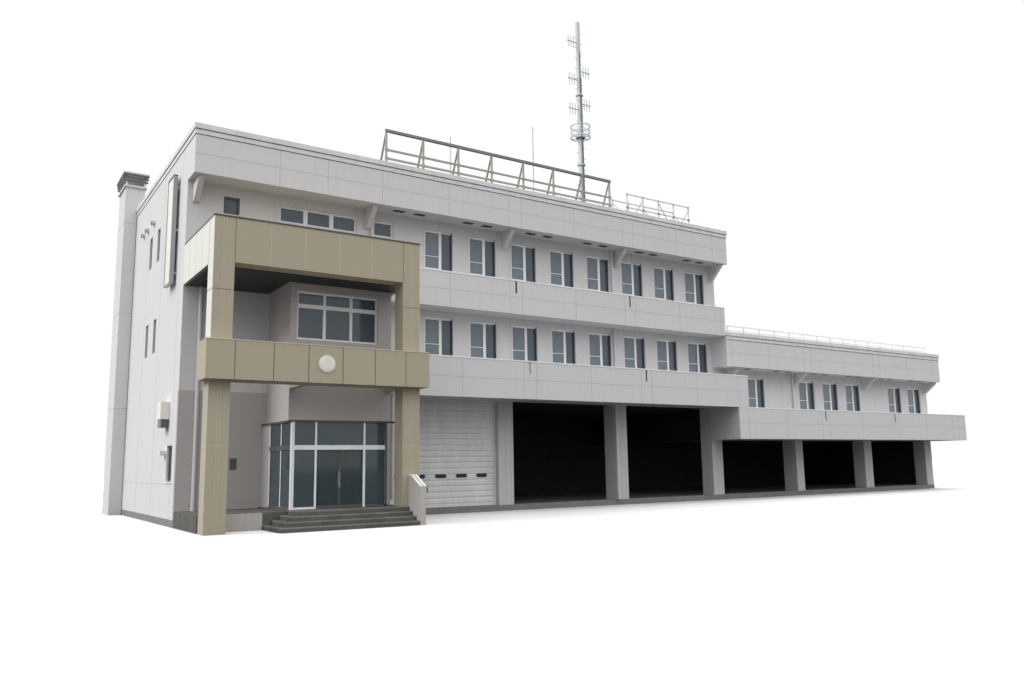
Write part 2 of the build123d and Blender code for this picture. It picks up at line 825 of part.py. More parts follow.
with BuildPart() as window_glass:
    reach = front_rows[-1] + window_width / 2 + glass_lap
    start = front_rows[0] - window_width / 2 - glass_lap
    rear_reach = rear_rows[-1] + window_width / 2 + glass_lap
    second_pane = (second_sill - glass_lap, second_sill + window_height + glass_lap)
    third_pane = (third_sill - glass_lap, strip_head + glass_lap)
    pane = front + wall
    block(start, reach, pane, pane + glass, *second_pane)
    block(corner_light[0] - glass_lap, reach, pane, pane + glass, *third_pane)
    for low, high in (second_pane, third_pane):
        block(-rear_reach, rear_reach, rear - wall - glass, rear - wall, low, high)
    block(bay_light[0] - glass_lap, bay_light[1] + glass_lap, bay_front + wall,
          bay_front + wall + glass, bay_light[2] - glass_lap, bay_light[3] + glass_lap)
    for y0, y1, z0, z1 in left_windows + [low_window]:
        block(-main_half + wall, -main_half + wall + glass, y0 - glass_lap,
              y1 + glass_lap, z0 - glass_lap, z1 + glass_lap)
    for y0, y1, z0, z1 in right_windows:
        block(main_half - wall - glass, main_half - wall, y0 - glass_lap,
              y1 + glass_lap, z0 - glass_lap, z1 + glass_lap)
window_glass.part.label = "window_glass"
export_step(window_glass.part, "parts/window_glass.step")

with BuildPart() as wing_window_glass:
    low = wing_sill - glass_lap
    high = wing_sill + window_height + glass_lap
    for rows, y in ((wing_rows, front + wall), (wing_rear_rows, rear - wall - glass)):
        block(rows[0] - window_width / 2 - glass_lap,
              rows[-1] + window_width / 2 + glass_lap, y, y + glass, low, high)
wing_window_glass.part.label = "wing_window_glass"
export_step(wing_window_glass.part, "parts/wing_window_glass.step")

# Downpipe solids

entrance_pipe_inset = 330.0
left_pipe_offset = 100.0
upper_pipe_offset = 140.0
wing_pipe_offset = 110.0
foot_offset = 170.0

with BuildPart() as downpipes:
    pipe_y = front - pipe_radius
    runs = [
        (-bay + left_pipe_offset, canopy_top, fascia_bottom),
        (bay - upper_pipe_offset, canopy_top, fascia_bottom),
        (bay - upper_pipe_offset, second_band_top, third_band_bottom),
        (bay - foot_offset, ground_top, bay_soffit),
        (3 * bay - wing_pipe_offset, wing_band_top, wing_fascia_bottom),
        (3 * bay - foot_offset, ground_top, wing_soffit),
        (-main_half + entrance_pipe_inset, plinth_top, third_band_bottom),
    ]
    for x, z0, z1 in runs:
        upright(x, pipe_y, z0, z1, pipe_radius)
    corner_x = bay_right + hopper_radius
    corner_y = bay_front + hopper_radius
    upright(corner_x, corner_y, hall_top + foot_gap, beam_bottom, pipe_radius)
    with Locations((corner_x, corner_y, beam_bottom - hopper_height / 2)):
        Cone(pipe_radius, hopper_radius, hopper_height)
downpipes.part.label = "downpipes"
export_step(downpipes.part, "parts/downpipes.step")

# Roof equipment solids

with BuildPart() as roof_sign_frame:
    sign_y = front - sign_setback
    sign_back = sign_y + sign_tube
    sign_left = -bay + sign_inset
    pitch = sign_length / sign_bays
    half_tube = sign_tube / 2
    lines = [sign_left + i * pitch for i in range(sign_bays + 1)]
    with BuildSketch(Plane.XZ.offset(-sign_back)):
        for x in lines:
            patch(x - half_tube, x + half_tube, roof_top, roof_top + sign_height)
        for rise in (sign_mid_rise, sign_base_rise):
            patch(sign_left, lines[-1], roof_top + rise - half_tube,
                  roof_top + rise + half_tube)
        patch(sign_left - half_tube, lines[-1] + half_tube,
              roof_top + sign_height - sign_rail, roof_top + sign_height)
    extrude(amount=sign_tube)
    strut_top = roof_top + sign_height - strut_drop
    strut_foot = roof_top + strut_foot_rise
    foot_y = sign_back + strut_reach
    for x in lines:
        with BuildSketch(Plane.YZ.offset(x - half_tube)):
            with BuildLine():
                Polyline((sign_back, strut_top), (sign_back, strut_top - sign_tube),
                         (foot_y - sign_tube, strut_foot), (foot_y - sign_tube, roof_top),
                         (foot_y, roof_top), (foot_y, strut_foot + sign_tube), close=True)
            make_face()
            patch(sign_back, foot_y - half_tube, strut_foot, strut_foot + sign_tube)
        extrude(amount=sign_tube)
    block(sign_left, lines[-1], foot_y - sign_tube, foot_y,
          strut_foot, strut_foot + sign_tube)
roof_sign_frame.part.label = "roof_sign_frame"
export_step(roof_sign_frame.part, "parts/roof_sign_frame.step")

with BuildPart() as radio_mast:
    foot_top = roof_top + mast_foot_height
    mast_length = mast_height - mast_foot_height
    block(mast_x - mast_foot / 2, mast_x + mast_foot / 2, mast_y - mast_foot / 2,
          mast_y + mast_foot / 2, roof_top, foot_top)
    with Locations((mast_x, mast_y, foot_top + mast_length / 2)):
        Cone(mast_radius, mast_tip_radius, mast_length)
    upright(mast_x, mast_y, platform_level, platform_level + platform_collar_height,
            mast_radius + platform_collar)
    for rise in (0, platform_rail_rise):
        with BuildSketch(Plane.XY.offset(platform_level + rise)):
            with Locations((mast_x, mast_y)):
                Circle(platform_radius)
                Circle(platform_radius - platform_tube, mode=Mode.SUBTRACT)
        extrude(amount=platform_tube)
    with Locations((mast_x, mast_y, platform_level + platform_tube / 2)):
        with PolarLocations(0, platform_spokes):
            with Locations(((mast_radius + platform_radius - platform_tube / 2) / 2, 0, 0)):
                Box(platform_radius - mast_radius - platform_tube / 2, platform_tube,
                    platform_tube)
    rim = platform_radius - platform_tube / 2
    with Locations((mast_x, mast_y, platform_level + platform_rail_rise / 2)):
        with PolarLocations(rim, platform_spokes):
            Box(platform_tube / 2, platform_tube / 2, platform_rail_rise)
radio_mast.part.label = "radio_mast"
export_step(radio_mast.part, "parts/radio_mast.step")

with BuildPart() as antennas:
    for i, rise in enumerate(aerial_rises):
        side = 1 if i % 2 else -1
        level = roof_top + rise
        low = rise - aerial_boom / 2 - mast_foot_height
        share = low / (mast_height - mast_foot_height)
        skin = mast_radius + (mast_tip_radius - mast_radius) * share
        root = skin + aerial_play
        ends = sorted((mast_x + side * root, mast_x + side * aerial_reach))
        block(*ends, mast_y - aerial_boom / 2, mast_y + aerial_boom / 2,
              level - aerial_boom / 2, level + aerial_boom / 2)
        step = (aerial_reach - root) / (aerial_rods + 0.5)
        for k in range(aerial_rods):
            x = mast_x + side * (root + (k + 1) * step)
            block(x - aerial_rod, x + aerial_rod, mast_y - aerial_rod,
                  mast_y + aerial_rod, level - aerial_rod_length / 2,
                  level + aerial_rod_length / 2)
    upright(mast_x - tall_whip_offset, mast_y, roof_top, roof_top + tall_whip_height,
            whip_radius)
    upright(mast_x - short_whip_offset, mast_y, roof_top, roof_top + short_whip_height,
            whip_radius)
antennas.part.label = "antennas"
export_step(antennas.part, "parts/antennas.step")

with BuildPart() as roof_pipe_frame:
    screen_left = mast_x + screen_gap
    screen_right = main_half - screen_end
    half_tube = screen_tube / 2
    rows = (front + screen_setback, front + screen_setback + screen_depth)
    pitch = (screen_right - screen_left) / (screen_posts - 1)
    for y in rows:
        with BuildSketch(Plane.XZ.offset(-(y + screen_tube))):
            for i in range(screen_posts):
                x = screen_left + i * pitch
                patch(x - half_tube, x + half_tube, roof_top, roof_top + screen_height)
            for rise in (screen_height - half_tube, screen_mid_rise):
                patch(screen_left - half_tube, screen_right + half_tube,
                      roof_top + rise - half_tube, roof_top + rise + half_tube)
        extrude(amount=screen_tube)
    for x in (screen_left, screen_right):
        block(x - half_tube, x + half_tube, rows[0] + half_tube, rows[1] + half_tube,
              roof_top + screen_cross_rise - half_tube,
              roof_top + screen_cross_rise + half_tube)
roof_pipe_frame.part.label = "roof_pipe_frame"
export_step(roof_pipe_frame.part, "parts/roof_pipe_frame.step")

with BuildPart() as wing_handrail:
    rail_left = main_half + handrail_margin / 2
    rail_right = wing_end - handrail_margin
    rail_y = front - handrail_reach
    half_tube = handrail_tube / 2
    pitch = (rail_right - rail_left) / handrail_bays
    with BuildSketch(Plane.XZ.offset(-(rail_y + handrail_tube))):
        for i in range(handrail_bays + 1):
            x = rail_left + i * pitch
            patch(x - half_tube, x + half_tube, wing_roof_top,
                  wing_roof_top + handrail_height)
        for rise in (handrail_height - half_tube, handrail_mid_rise):
            patch(rail_left - half_tube, rail_right + half_tube,
                  wing_roof_top + rise - half_tube, wing_roof_top + rise + half_tube)
    extrude(amount=handrail_tube)
wing_handrail.part.label = "wing_handrail"
export_step(wing_handrail.part, "parts/wing_handrail.step")

# Chimney and side sign solids

with BuildPart() as chimney:
    back = rear + chimney_depth
    cap_top = chimney_top + chimney_cap
    hood_bottom = cap_top + hood_gap
    block(chimney_left, chimney_right, rear, back, 0, chimney_top)
    block(chimney_left - chimney_lip, chimney_right + chimney_lip, rear - chimney_lip,
          back + chimney_lip, chimney_top, cap_top)
    with BuildSketch(Plane.XY.offset(cap_top)):
        for x in (chimney_left, chimney_right - hood_leg):
            for y in (rear, back - hood_leg):
                patch(x, x + hood_leg, y, y + hood_leg)
    extrude(amount=hood_gap)
    block(chimney_left - hood_lip, chimney_right + hood_lip, rear - hood_lip,
          back + hood_lip, hood_bottom, hood_bottom + hood_thickness)
chimney.part.label = "chimney"
export_step(chimney.part, "parts/chimney.step")

with BuildPart() as side_sign:
    sign_start = front + side_sign_start
    block(side_sign_left, side_sign_right, sign_start, sign_start + side_sign_width,
          side_sign_bottom, side_sign_bottom + side_sign_height)
    with BuildSketch(Plane.YZ.offset(side_sign_right)):
        with Locations((sign_start + side_sign_width / 2,
                        side_sign_bottom + side_sign_height / 2)):
            with GridLocations(side_sign_width * 0.75, side_sign_height * 0.4, 2, 3):
                Rectangle(sign_arm, sign_arm)
    extrude(amount=side_sign_gap)
side_sign.part.label = "side_sign"
export_step(side_sign.part, "parts/side_sign.step")
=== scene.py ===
"""Fire station building at half of full size: finishes, joints, sashes and fittings.

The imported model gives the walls, floors, posts and frames. This script gives every surface
its coating and adds the fine pieces that the solids leave out. Lengths are in metres, in the
model's own frame: X runs along the street front, Y into the building and Z up.
"""
import json
import logging
import math
from dataclasses import dataclass, field
from enum import Enum
from typing import Iterable, Sequence

import bmesh
import bpy
from mathutils import Euler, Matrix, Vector


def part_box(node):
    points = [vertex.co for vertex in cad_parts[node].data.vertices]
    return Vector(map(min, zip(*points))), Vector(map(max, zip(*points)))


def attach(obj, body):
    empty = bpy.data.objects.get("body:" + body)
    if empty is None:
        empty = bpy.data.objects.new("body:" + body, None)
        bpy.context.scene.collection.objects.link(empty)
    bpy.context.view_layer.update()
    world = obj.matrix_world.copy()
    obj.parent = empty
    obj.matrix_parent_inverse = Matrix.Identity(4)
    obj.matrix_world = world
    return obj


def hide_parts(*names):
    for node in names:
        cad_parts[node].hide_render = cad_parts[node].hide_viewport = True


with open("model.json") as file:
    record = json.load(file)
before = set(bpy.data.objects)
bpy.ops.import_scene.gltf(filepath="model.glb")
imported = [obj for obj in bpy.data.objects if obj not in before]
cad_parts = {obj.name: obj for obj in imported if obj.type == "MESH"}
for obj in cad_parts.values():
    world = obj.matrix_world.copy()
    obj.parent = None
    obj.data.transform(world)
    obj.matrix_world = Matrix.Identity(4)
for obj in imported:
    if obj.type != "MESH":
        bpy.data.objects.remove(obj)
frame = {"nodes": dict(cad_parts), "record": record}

MM = 0.001
# Round surfaces are shaded smooth up to this angle between two faces.
SHARP_ANGLE = math.radians(35)
STREETWARD = Vector((0, -1, 0))
UPWARD = Vector((0, 0, 1))
BANDS = ("second_floor_band", "third_floor_band", "wing_band")
LOG = logging.getLogger("fire_station")

# Two ends of a range, lower end first.
Span = tuple[float, float]
Tree = bpy.types.NodeTree
Socket = bpy.types.NodeSocket
# Colour, wear and height that a finish draws.
Pattern = tuple[Socket, Socket, Socket]


class Body(Enum):
    """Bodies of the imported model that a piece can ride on."""

    BUILDING = "building"
    LEFT_LEAF = "left_leaf"
    RIGHT_LEAF = "right_leaf"


class Side(Enum):
    """Faces of the building, named as seen from the street."""

    FRONT = "front"
    REAR = "rear"
    LEFT = "left"
    RIGHT = "right"


# Colours and shader nodes


def linear(code: str) -> tuple[float, float, float, float]:
    """Turn an sRGB hex colour into linear values.

    Args:
        code: Six hex digits after a hash sign.

    Returns:
        Red, green, blue and a full alpha.
    """
    channels = [int(code[i:i + 2], 16) / 255 for i in (1, 3, 5)]
    bent = [c / 12.92 if c <= 0.04045 else ((c + 0.055) / 1.055) ** 2.4 for c in channels]
    return (bent[0], bent[1], bent[2], 1.0)


def add_node(tree: Tree, kind: str, settings: dict | None = None,
             links: dict | None = None) -> bpy.types.Node:
    """Add one shader node with its settings and links.

    Args:
        tree: Node tree that receives the node.
        kind: Blender's name of the node type, without its first word.
        settings: Values by property name, input name or input number.
        links: Output sockets by the input name or number that they feed.

    Returns:
        The new node.
    """
    node = tree.nodes.new(f"ShaderNode{kind}")
    for key, value in (settings or {}).items():
        if isinstance(key, str) and hasattr(node, key):
            setattr(node, key, value)
        else:
            node.inputs[key].default_value = value
    for key, source in (links or {}).items():
        tree.links.new(source, node.inputs[key])
    return node


@dataclass(frozen=True)
class Finish:
    """One surface finish, from what the real surface is made of.

    Attributes:
        name: Name of the material.
        colour: Main colour, sRGB hex.
        shade: Second colour of the variation, sRGB hex.
        roughness: Microfacet roughness of the surface.
        metallic: One for bare metal, zero for a coating.
        spread: How far the roughness falls below and rises above its plain value.
        relief: Strength and depth of the surface's relief.
    """

    name: str
    colour: str
    shade: str
    roughness: float
    metallic: float = 0.0
    spread: Span = (0.0, 0.0)
    relief: Span = (0.0, 1 * MM)

    def material(self) -> bpy.types.Material:
        """Return the material, made the first time it is asked for."""
        known = bpy.data.materials.get(self.name)
        if known:
            return known
        made = bpy.data.materials.new(self.name)
        made.use_nodes = True
        tree = made.node_tree
        tree.nodes.clear()
        place = add_node(tree, "TexCoord").outputs["Object"]
        colour, wear, height = self.dress(tree, place)
        rough = add_node(tree, "MapRange", {3: self.roughness - self.spread[0],
                          4: self.roughness + self.spread[1]}, {0: wear})
        bump = add_node(tree, "Bump", {"Strength": self.relief[0], "Distance": self.relief[1]},
                        {"Height": height})
        shader = add_node(tree, "BsdfPrincipled", self.constants(),
                          {"Base Color": colour, "Roughness": rough.outputs[0],
                           "Normal": bump.outputs[0]})
        add_node(tree, "OutputMaterial", links={"Surface": shader.outputs[0]})
        return made

    def constants(self) -> dict:
        """Return the plain values of the shader's own sockets."""
        return {"Metallic": self.metallic, "Roughness": self.roughness}

    def colours(self) -> dict:
        """Return the settings of a mix from the main colour to the second one."""
        return {"data_type": "RGBA", 6: linear(self.colour), 7: linear(self.shade)}

    def dress(self, tree: Tree, place: Socket) -> Pattern:
        """Draw the pattern of this finish.

        Args:
            tree: Node tree of the material.
            place: Position in the model, in metres.

        Returns:
            The sockets of the colour, the wear and the height of the surface.
        """
        raise NotImplementedError


@dataclass(frozen=True)
class SprayedPanel(Finish):
    """Lightweight concrete panel with a sprayed mineral coat.

    The coat gives a matt face with a fine stipple, faint cloudy patches and grey rain
    streaks that run down from the copings.

    Attributes:
        stipple: Grain of the sprayed coat, drawn coarser than the real 3 mm to show.
        streak: Width of one rain streak.
        cloud: Width of one cloudy patch.
        streaking: How far the streaks go towards the second colour.
    """

    stipple: float = 14 * MM
    streak: float = 90 * MM
    cloud: float = 1.3
    streaking: float = 0.55
    spread: Span = (0.06, 0.08)
    relief: Span = (0.22, 2 * MM)

    def dress(self, tree: Tree, place: Socket) -> Pattern:
        """Mix clouds and streaks into the colour and raise the stipple."""
        clouds = add_node(tree, "TexNoise",
                          {"Scale": 1 / self.cloud, "Detail": 5.0, "Roughness": 0.6},
                          {"Vector": place})
        # Streaks are noise drawn out to twenty times its width down the wall.
        tall = add_node(tree, "Mapping", {"Scale": (1.0, 1.0, 0.05)}, {"Vector": place})
        streaks = add_node(tree, "TexNoise",
                           {"Scale": 1 / self.streak, "Detail": 4.0, "Roughness": 0.55},
                           {"Vector": tall.outputs[0]})
        sharper = add_node(tree, "MapRange", {1: 0.42, 2: 0.72, 3: 0.0, 4: 1.0},
                           {0: streaks.outputs[0]})
        both = add_node(tree, "Math", {"operation": "MULTIPLY"},
                        {0: sharper.outputs[0], 1: clouds.outputs[0]})
        amount = add_node(tree, "MapRange", {4: self.streaking}, {0: both.outputs[0]})
        colour = add_node(tree, "Mix", self.colours(), {0: amount.outputs[0]})
        grain = add_node(tree, "TexVoronoi",
                         {"Scale": 1 / self.stipple, "feature": "SMOOTH_F1"},
                         {"Vector": place})
        return colour.outputs[2], clouds.outputs[0], grain.outputs[0]


@dataclass(frozen=True)
class CoatedMetal(Finish):
    """Powder-coated aluminium or steel: smooth, satin, with light dust and orange peel.

    Attributes:
        peel: Width of one swell of the coating's orange peel, drawn coarse to show.
        dust: Width of one patch of settled dust.
        soiling: How far the dust goes towards the second colour.
    """

    peel: float = 9 * MM
    dust: float = 220 * MM
    soiling: float = 0.5
    spread: Span = (0.05, 0.2)
    relief: Span = (0.1, 1 * MM)

    def dress(self, tree: Tree, place: Socket) -> Pattern:
        """Dust the colour and roughness and raise the orange peel."""
        tall = add_node(tree, "Mapping", {"Scale": (1.0, 1.0, 0.3)}, {"Vector": place})
        patches = add_node(tree, "TexNoise",
                           {"Scale": 1 / self.dust, "Detail": 6.0, "Roughness": 0.6},
                           {"Vector": tall.outputs[0]})
        amount = add_node(tree, "MapRange", {1: 0.38, 2: 0.75, 4: self.soiling},
                          {0: patches.outputs[0]})
        colour = add_node(tree, "Mix", self.colours(), {0: amount.outputs[0]})
        swell = add_node(tree, "TexNoise", {"Scale": 1 / self.peel, "Detail": 1.0},
                         {"Vector": place})
        return colour.outputs[2], amount.outputs[0], swell.outputs[0]


@dataclass(frozen=True)
class Galvanised(Finish):
    """Bare metal gone dull outdoors: grey flakes under chalky bloom, rust at the welds.

    Attributes:
        spangle: Width of one zinc flake, drawn coarser than the real one to show.
        bloom: Width of one chalky patch.
        rust: Colour of the rust that starts at cuts and welds.
    """

    spangle: float = 16 * MM
    bloom: float = 160 * MM
    rust: str = "#8a6a55"
    spread: Span = (0.12, 0.15)
    relief: Span = (0.12, 1 * MM)

    def dress(self, tree: Tree, place: Socket) -> Pattern:
        """Give the flakes their own tone, then lay bloom and a little rust over them."""
        flakes = add_node(tree, "TexVoronoi", {"Scale": 1 / self.spangle}, {"Vector": place})
        tone = add_node(tree, "Mix", self.colours(), {0: flakes.outputs["Distance"]})
        patches = add_node(tree, "TexNoise",
                           {"Scale": 1 / self.bloom, "Detail": 6.0, "Roughness": 0.7},
                           {"Vector": place})
        # Only the peaks of the bloom carry rust, and never the full colour.
        spots = add_node(tree, "MapRange", {1: 0.62, 2: 0.8, 4: 0.45}, {0: patches.outputs[0]})
        colour = add_node(tree, "Mix", {"data_type": "RGBA", 7: linear(self.rust)},
                          {0: spots.outputs[0], 6: tone.outputs[2]})
        return colour.outputs[2], patches.outputs[0], flakes.outputs["Distance"]


@dataclass(frozen=True)
class PavingStone(Finish):
    """Flamed granite slabs: dark speckle, rough split face, mortar joints in courses.

    Attributes:
        slab_length: Length of one slab.
        slab_width: Width of one slab.
        joint: Width of a mortar joint.
        crystal: Width of one crystal, drawn coarser than the real 3 mm to show.
        mortar: Colour of the joints.
        speck: Tint of the darker crystals.
    """

    slab_length: float = 300 * MM
    slab_width: float = 150 * MM
    joint: float = 5 * MM
    crystal: float = 8 * MM
    mortar: str = "#5b5853"
    speck: str = "#8d8a86"
    spread: Span = (0.1, 0.1)
    relief: Span = (0.35, 2 * MM)

    def dress(self, tree: Tree, place: Socket) -> Pattern:
        """Speckle the slabs, part them by joints and roughen the face."""
        courses = add_node(tree, "TexBrick",
                           {"offset": 0.5, "Scale": 1.0, "Mortar Size": self.joint / 2,
                            "Brick Width": self.slab_length, "Row Height": self.slab_width,
                            "Color1": linear(self.colour), "Color2": linear(self.shade),
                            "Mortar": linear(self.mortar)}, {"Vector": place})
        speckle = add_node(tree, "TexVoronoi", {"Scale": 1 / self.crystal}, {"Vector": place})
        # Patches of dirt spread over about four slabs.
        dirt = add_node(tree, "TexNoise",
                        {"Scale": 1 / (4 * self.slab_width), "Detail": 6.0}, {"Vector": place})
        amount = add_node(tree, "MapRange", {1: 0.3, 2: 0.9, 4: 0.5},
                          {0: speckle.outputs["Distance"]})
        colour = add_node(tree, "Mix", {"data_type": "RGBA", "blend_type": "MULTIPLY",
                           7: linear(self.speck)},
                          {0: amount.outputs[0], 6: courses.outputs["Color"]})
        return colour.outputs[2], dirt.outputs[0], speckle.outputs["Distance"]


@dataclass(frozen=True)
class TrowelledConcrete(Finish):
    """Steel-trowelled or board-marked concrete: mottled, with pores and drying patches.

    Attributes:
        mottle: Width of one trowel patch.
        pore: Spacing of the small pores.
    """

    mottle: float = 350 * MM
    pore: float = 22 * MM
    spread: Span = (0.15, 0.1)
    relief: Span = (0.2, 1.5 * MM)

    def dress(self, tree: Tree, place: Socket) -> Pattern:
        """Mottle the colour and press the pores in."""
        patches = add_node(tree, "TexNoise",
                           {"Scale": 1 / self.mottle, "Detail": 8.0, "Roughness": 0.65},
                           {"Vector": place})
        colour = add_node(tree, "Mix", self.colours(), {0: patches.outputs[0]})
        pores = add_node(tree, "TexVoronoi", {"Scale": 1 / self.pore}, {"Vector": place})
        return colour.outputs[2], patches.outputs[0], pores.outputs["Distance"]


@dataclass(frozen=True)
class RoofMembrane(Finish):
    """Mineral-faced bitumen sheet: grey grit, welded laps and pale ponding marks.

    Attributes:
        sheet: Width of one laid sheet.
        length: Length of one laid sheet.
        lap: Width of the welded edge.
        grit: Width of one grain of the mineral face, drawn coarse to show.
        pond: Width of one ponding mark.
        weld: Colour of the bitumen along the laps.
        silt: Colour of the dried ponds.
    """

    sheet: float = 500 * MM
    length: float = 5.0
    lap: float = 12 * MM
    grit: float = 10 * MM
    pond: float = 1.25
    weld: str = "#5f5f5d"
    silt: str = "#a7a6a0"
    spread: Span = (0.1, 0.05)
    relief: Span = (0.3, 1.5 * MM)

    def dress(self, tree: Tree, place: Socket) -> Pattern:
        """Draw the laps across the roof and grit over them."""
        laps = add_node(tree, "TexBrick",
                        {"offset": 0.4, "Scale": 1.0, "Mortar Size": self.lap / 2,
                         "Brick Width": self.length, "Row Height": self.sheet,
                         "Color1": linear(self.colour), "Color2": linear(self.shade),
                         "Mortar": linear(self.weld)}, {"Vector": place})
        grit = add_node(tree, "TexNoise", {"Scale": 1 / self.grit, "Detail": 2.0},
                        {"Vector": place})
        ponds = add_node(tree, "TexNoise", {"Scale": 1 / self.pond, "Detail": 5.0},
                         {"Vector": place})
        amount = add_node(tree, "MapRange", {1: 0.5, 2: 0.8, 4: 0.4}, {0: ponds.outputs[0]})
        colour = add_node(tree, "Mix", {"data_type": "RGBA", 7: linear(self.silt)},
                          {0: amount.outputs[0], 6: laps.outputs["Color"]})
        return colour.outputs[2], ponds.outputs[0], grit.outputs[0]


@dataclass(frozen=True)
class Glazing(Finish):
    """Float glass over a dark room: a smooth reflecting face with a film of dust.

    Attributes:
        wave: Width of one slow swell of the float glass.
        dust: Width of one patch of the dust film.
        clearness: Share of the light that passes through the pane.
    """

    wave: float = 450 * MM
    dust: float = 260 * MM
    clearness: float = 0.0
    spread: Span = (0.0, 0.08)
    relief: Span = (0.06, 4 * MM)

    def constants(self) -> dict:
        """Return the shader's plain values, with the IOR of window glass."""
        return {**super().constants(), "IOR": 1.52, "Transmission Weight": self.clearness}

    def dress(self, tree: Tree, place: Socket) -> Pattern:
        """Tint the pane, film it with dust and bend its reflections slightly."""
        film = add_node(tree, "TexNoise",
                        {"Scale": 1 / self.dust, "Detail": 5.0, "Roughness": 0.6},
                        {"Vector": place})
        colour = add_node(tree, "Mix", self.colours(), {0: film.outputs[0]})
        swell = add_node(tree, "TexNoise", {"Scale": 1 / self.wave, "Detail": 0.0},
                         {"Vector": place})
        return colour.outputs[2], film.outputs[0], swell.outputs[0]


# The wall panels' coat is a pale warm grey, streaked by rain.
WALL = SprayedPanel("sprayed_wall_coat", "#cfcecf", "#bfbdbd", 0.85, streaking=0.35)
# Under the portal the same coat is drawn darker as painted shade, with fainter rain streaks.
SHADED_WALL = SprayedPanel("wall_coat_painted_shade", "#b4b0af", "#a5a09f", 0.85, streaking=0.2)
# The engine bays' columns wear the wall coat, a little darker as painted shade under the
# bands, and more streaked.
COLUMN = SprayedPanel("column_coat_painted_shade", "#cac7c6", "#b2aeac", 0.85, streaking=0.5)
# The portal wears a khaki coat in front and cream on its outer cheeks, greyer and darker low
# on the cheeks as painted shadow of trees.
PORTAL = SprayedPanel("sprayed_portal_coat", "#aaa18d", "#9b9280", 0.85, streaking=0.3)
CHEEK = SprayedPanel("sprayed_cream_coat", "#dad9d2", "#c9c6bc", 0.85)
CHEEK_PAINTED_SHADOW = SprayedPanel("cream_coat_painted_tree_shadow", "#aba594", "#9b9584", 0.85)
# The cast stone beside the steps and on the plinth is a pinkish grey with a finer grain.
CAST_STONE = SprayedPanel("cast_stone", "#b9b4b0", "#a29c97", 0.8, stipple=10 * MM)
# Pressed aluminium copings carry a light grey polyester coat, satin under the sky.
COPING = CoatedMetal("polyester_coated_coping", "#d8d7d9", "#b9b5b3", 0.42)
# Window sections are white powder-coated aluminium, gone slightly chalky.
WINDOW_WHITE = CoatedMetal("powder_coated_window_section", "#eceeef", "#cfd1d1", 0.38)
# Dark sections are anodised: deep grey with a soft sheen. The windows' right jambs wear it
# too, as painted shade.
WINDOW_DARK = CoatedMetal("anodised_dark_section", "#55585a", "#454749", 0.35)
# Roller shutter slats are white coil-coated steel with road dust.
SHUTTER = CoatedMetal("coil_coated_shutter_slat", "#e3e5e6", "#c3c2be", 0.4)
# Rainwater pipes are painted a pale stone grey.
PIPE = CoatedMetal("painted_rainwater_pipe", "#d2d0d2", "#b7b3b2", 0.45)
# The mast is painted a cool light grey, its neighbour's braces and clamps sky blue.
MAST = CoatedMetal("painted_mast_steel", "#c3ccd0", "#a5adb0", 0.45)
BRACE = CoatedMetal("blue_painted_brace", "#6f9fc0", "#8796a0", 0.5)
# Signs and boxes are warm white coated sheet.
WHITE_SHEET = CoatedMetal("white_coated_sheet", "#e6e3dc", "#c9c4ba", 0.45)
# The portal's edges are closed by brown folded sheet, its ceiling by dark boards.
DARK_TRIM = CoatedMetal("dark_brown_edge_trim", "#4b413b", "#6b625b", 0.4)
CEILING = CoatedMetal("dark_ceiling_board", "#26292c", "#323538", 0.5)
# The sign frame's top rail and the side sign's edge wear an old grey-green paint.
TOP_RAIL = CoatedMetal("grey_green_top_rail", "#7b827f", "#676d6b", 0.5)
SIGN_EDGE = CoatedMetal("grey_green_sign_edge", "#9aa4a1", "#868f8c", 0.5)
# Scaffold tube, vents and plates are hot-dip galvanised: cool grey flakes.
ZINC = Galvanised("galvanised_steel", "#aeb2b4", "#8c9093", 0.5, 0.6)
# The roof sign's frame is older steel, browned by weather.
SIGN_STEEL = Galvanised("weathered_roof_steel", "#b8b1ab", "#9b948e", 0.6, 0.2)
# Aerials are bare aluminium, the chimney's hood is dull steel, drawn darker.
AERIAL = Galvanised("bare_aerial_aluminium", "#c9cccd", "#adb1b3", 0.5, 0.5)
HOOD = Galvanised("dark_hood_steel", "#8b8e88", "#666963", 0.65, 0.2)
# Inside the engine hall, dark sheets on the walls and ceiling and a darker floor are painted
# shade.
HALL_SHADE_SHEET = TrowelledConcrete("shaded_hall_lining", "#2a2b2c", "#1e1f20", 0.85)
HALL_FLOOR_SHADE = TrowelledConcrete("shaded_hall_floor_concrete", "#6c6b69", "#585756", 0.6)
CONCRETE = TrowelledConcrete("trowelled_concrete", "#8f8d89", "#737170", 0.8)
# Joints are filled by silicone or lined by rubber: dull and darker than the panels.
SEALANT = CoatedMetal("silicone_joint", "#a5a1a3", "#949091", 0.8)
PORTAL_SEALANT = CoatedMetal("brown_silicone_joint", "#655045", "#56453c", 0.8)
PALE_SEALANT = CoatedMetal("pale_silicone_joint", "#c0b8a7", "#aea592", 0.8)
# Black also fills the mouths and slots of vents, as painted shade inside them.
RUBBER_AND_SHADE = CoatedMetal("black_rubber_and_painted_shade", "#26282a", "#3a3b3c", 0.7)
# Dark grey also draws painted shadow under the copings' lips and painted shade in the
# chimney's corner, and is the colour of the vent frames.
GREY_TRIM_AND_SHADOW = CoatedMetal("grey_trim_and_painted_shadow", "#77747a", "#66626a", 0.7)
# Steps are dark flamed granite, their nosings sawn and worn paler.
STONE = PavingStone("flamed_granite_paving", "#65635f", "#595753", 0.75)
NOSING = PavingStone("sawn_granite_nosing", "#85827d", "#75726d", 0.6, mortar="#6f6c67")
ROOFING = RoofMembrane("mineral_faced_roofing", "#8b8b88", "#7d7d7b", 0.9)
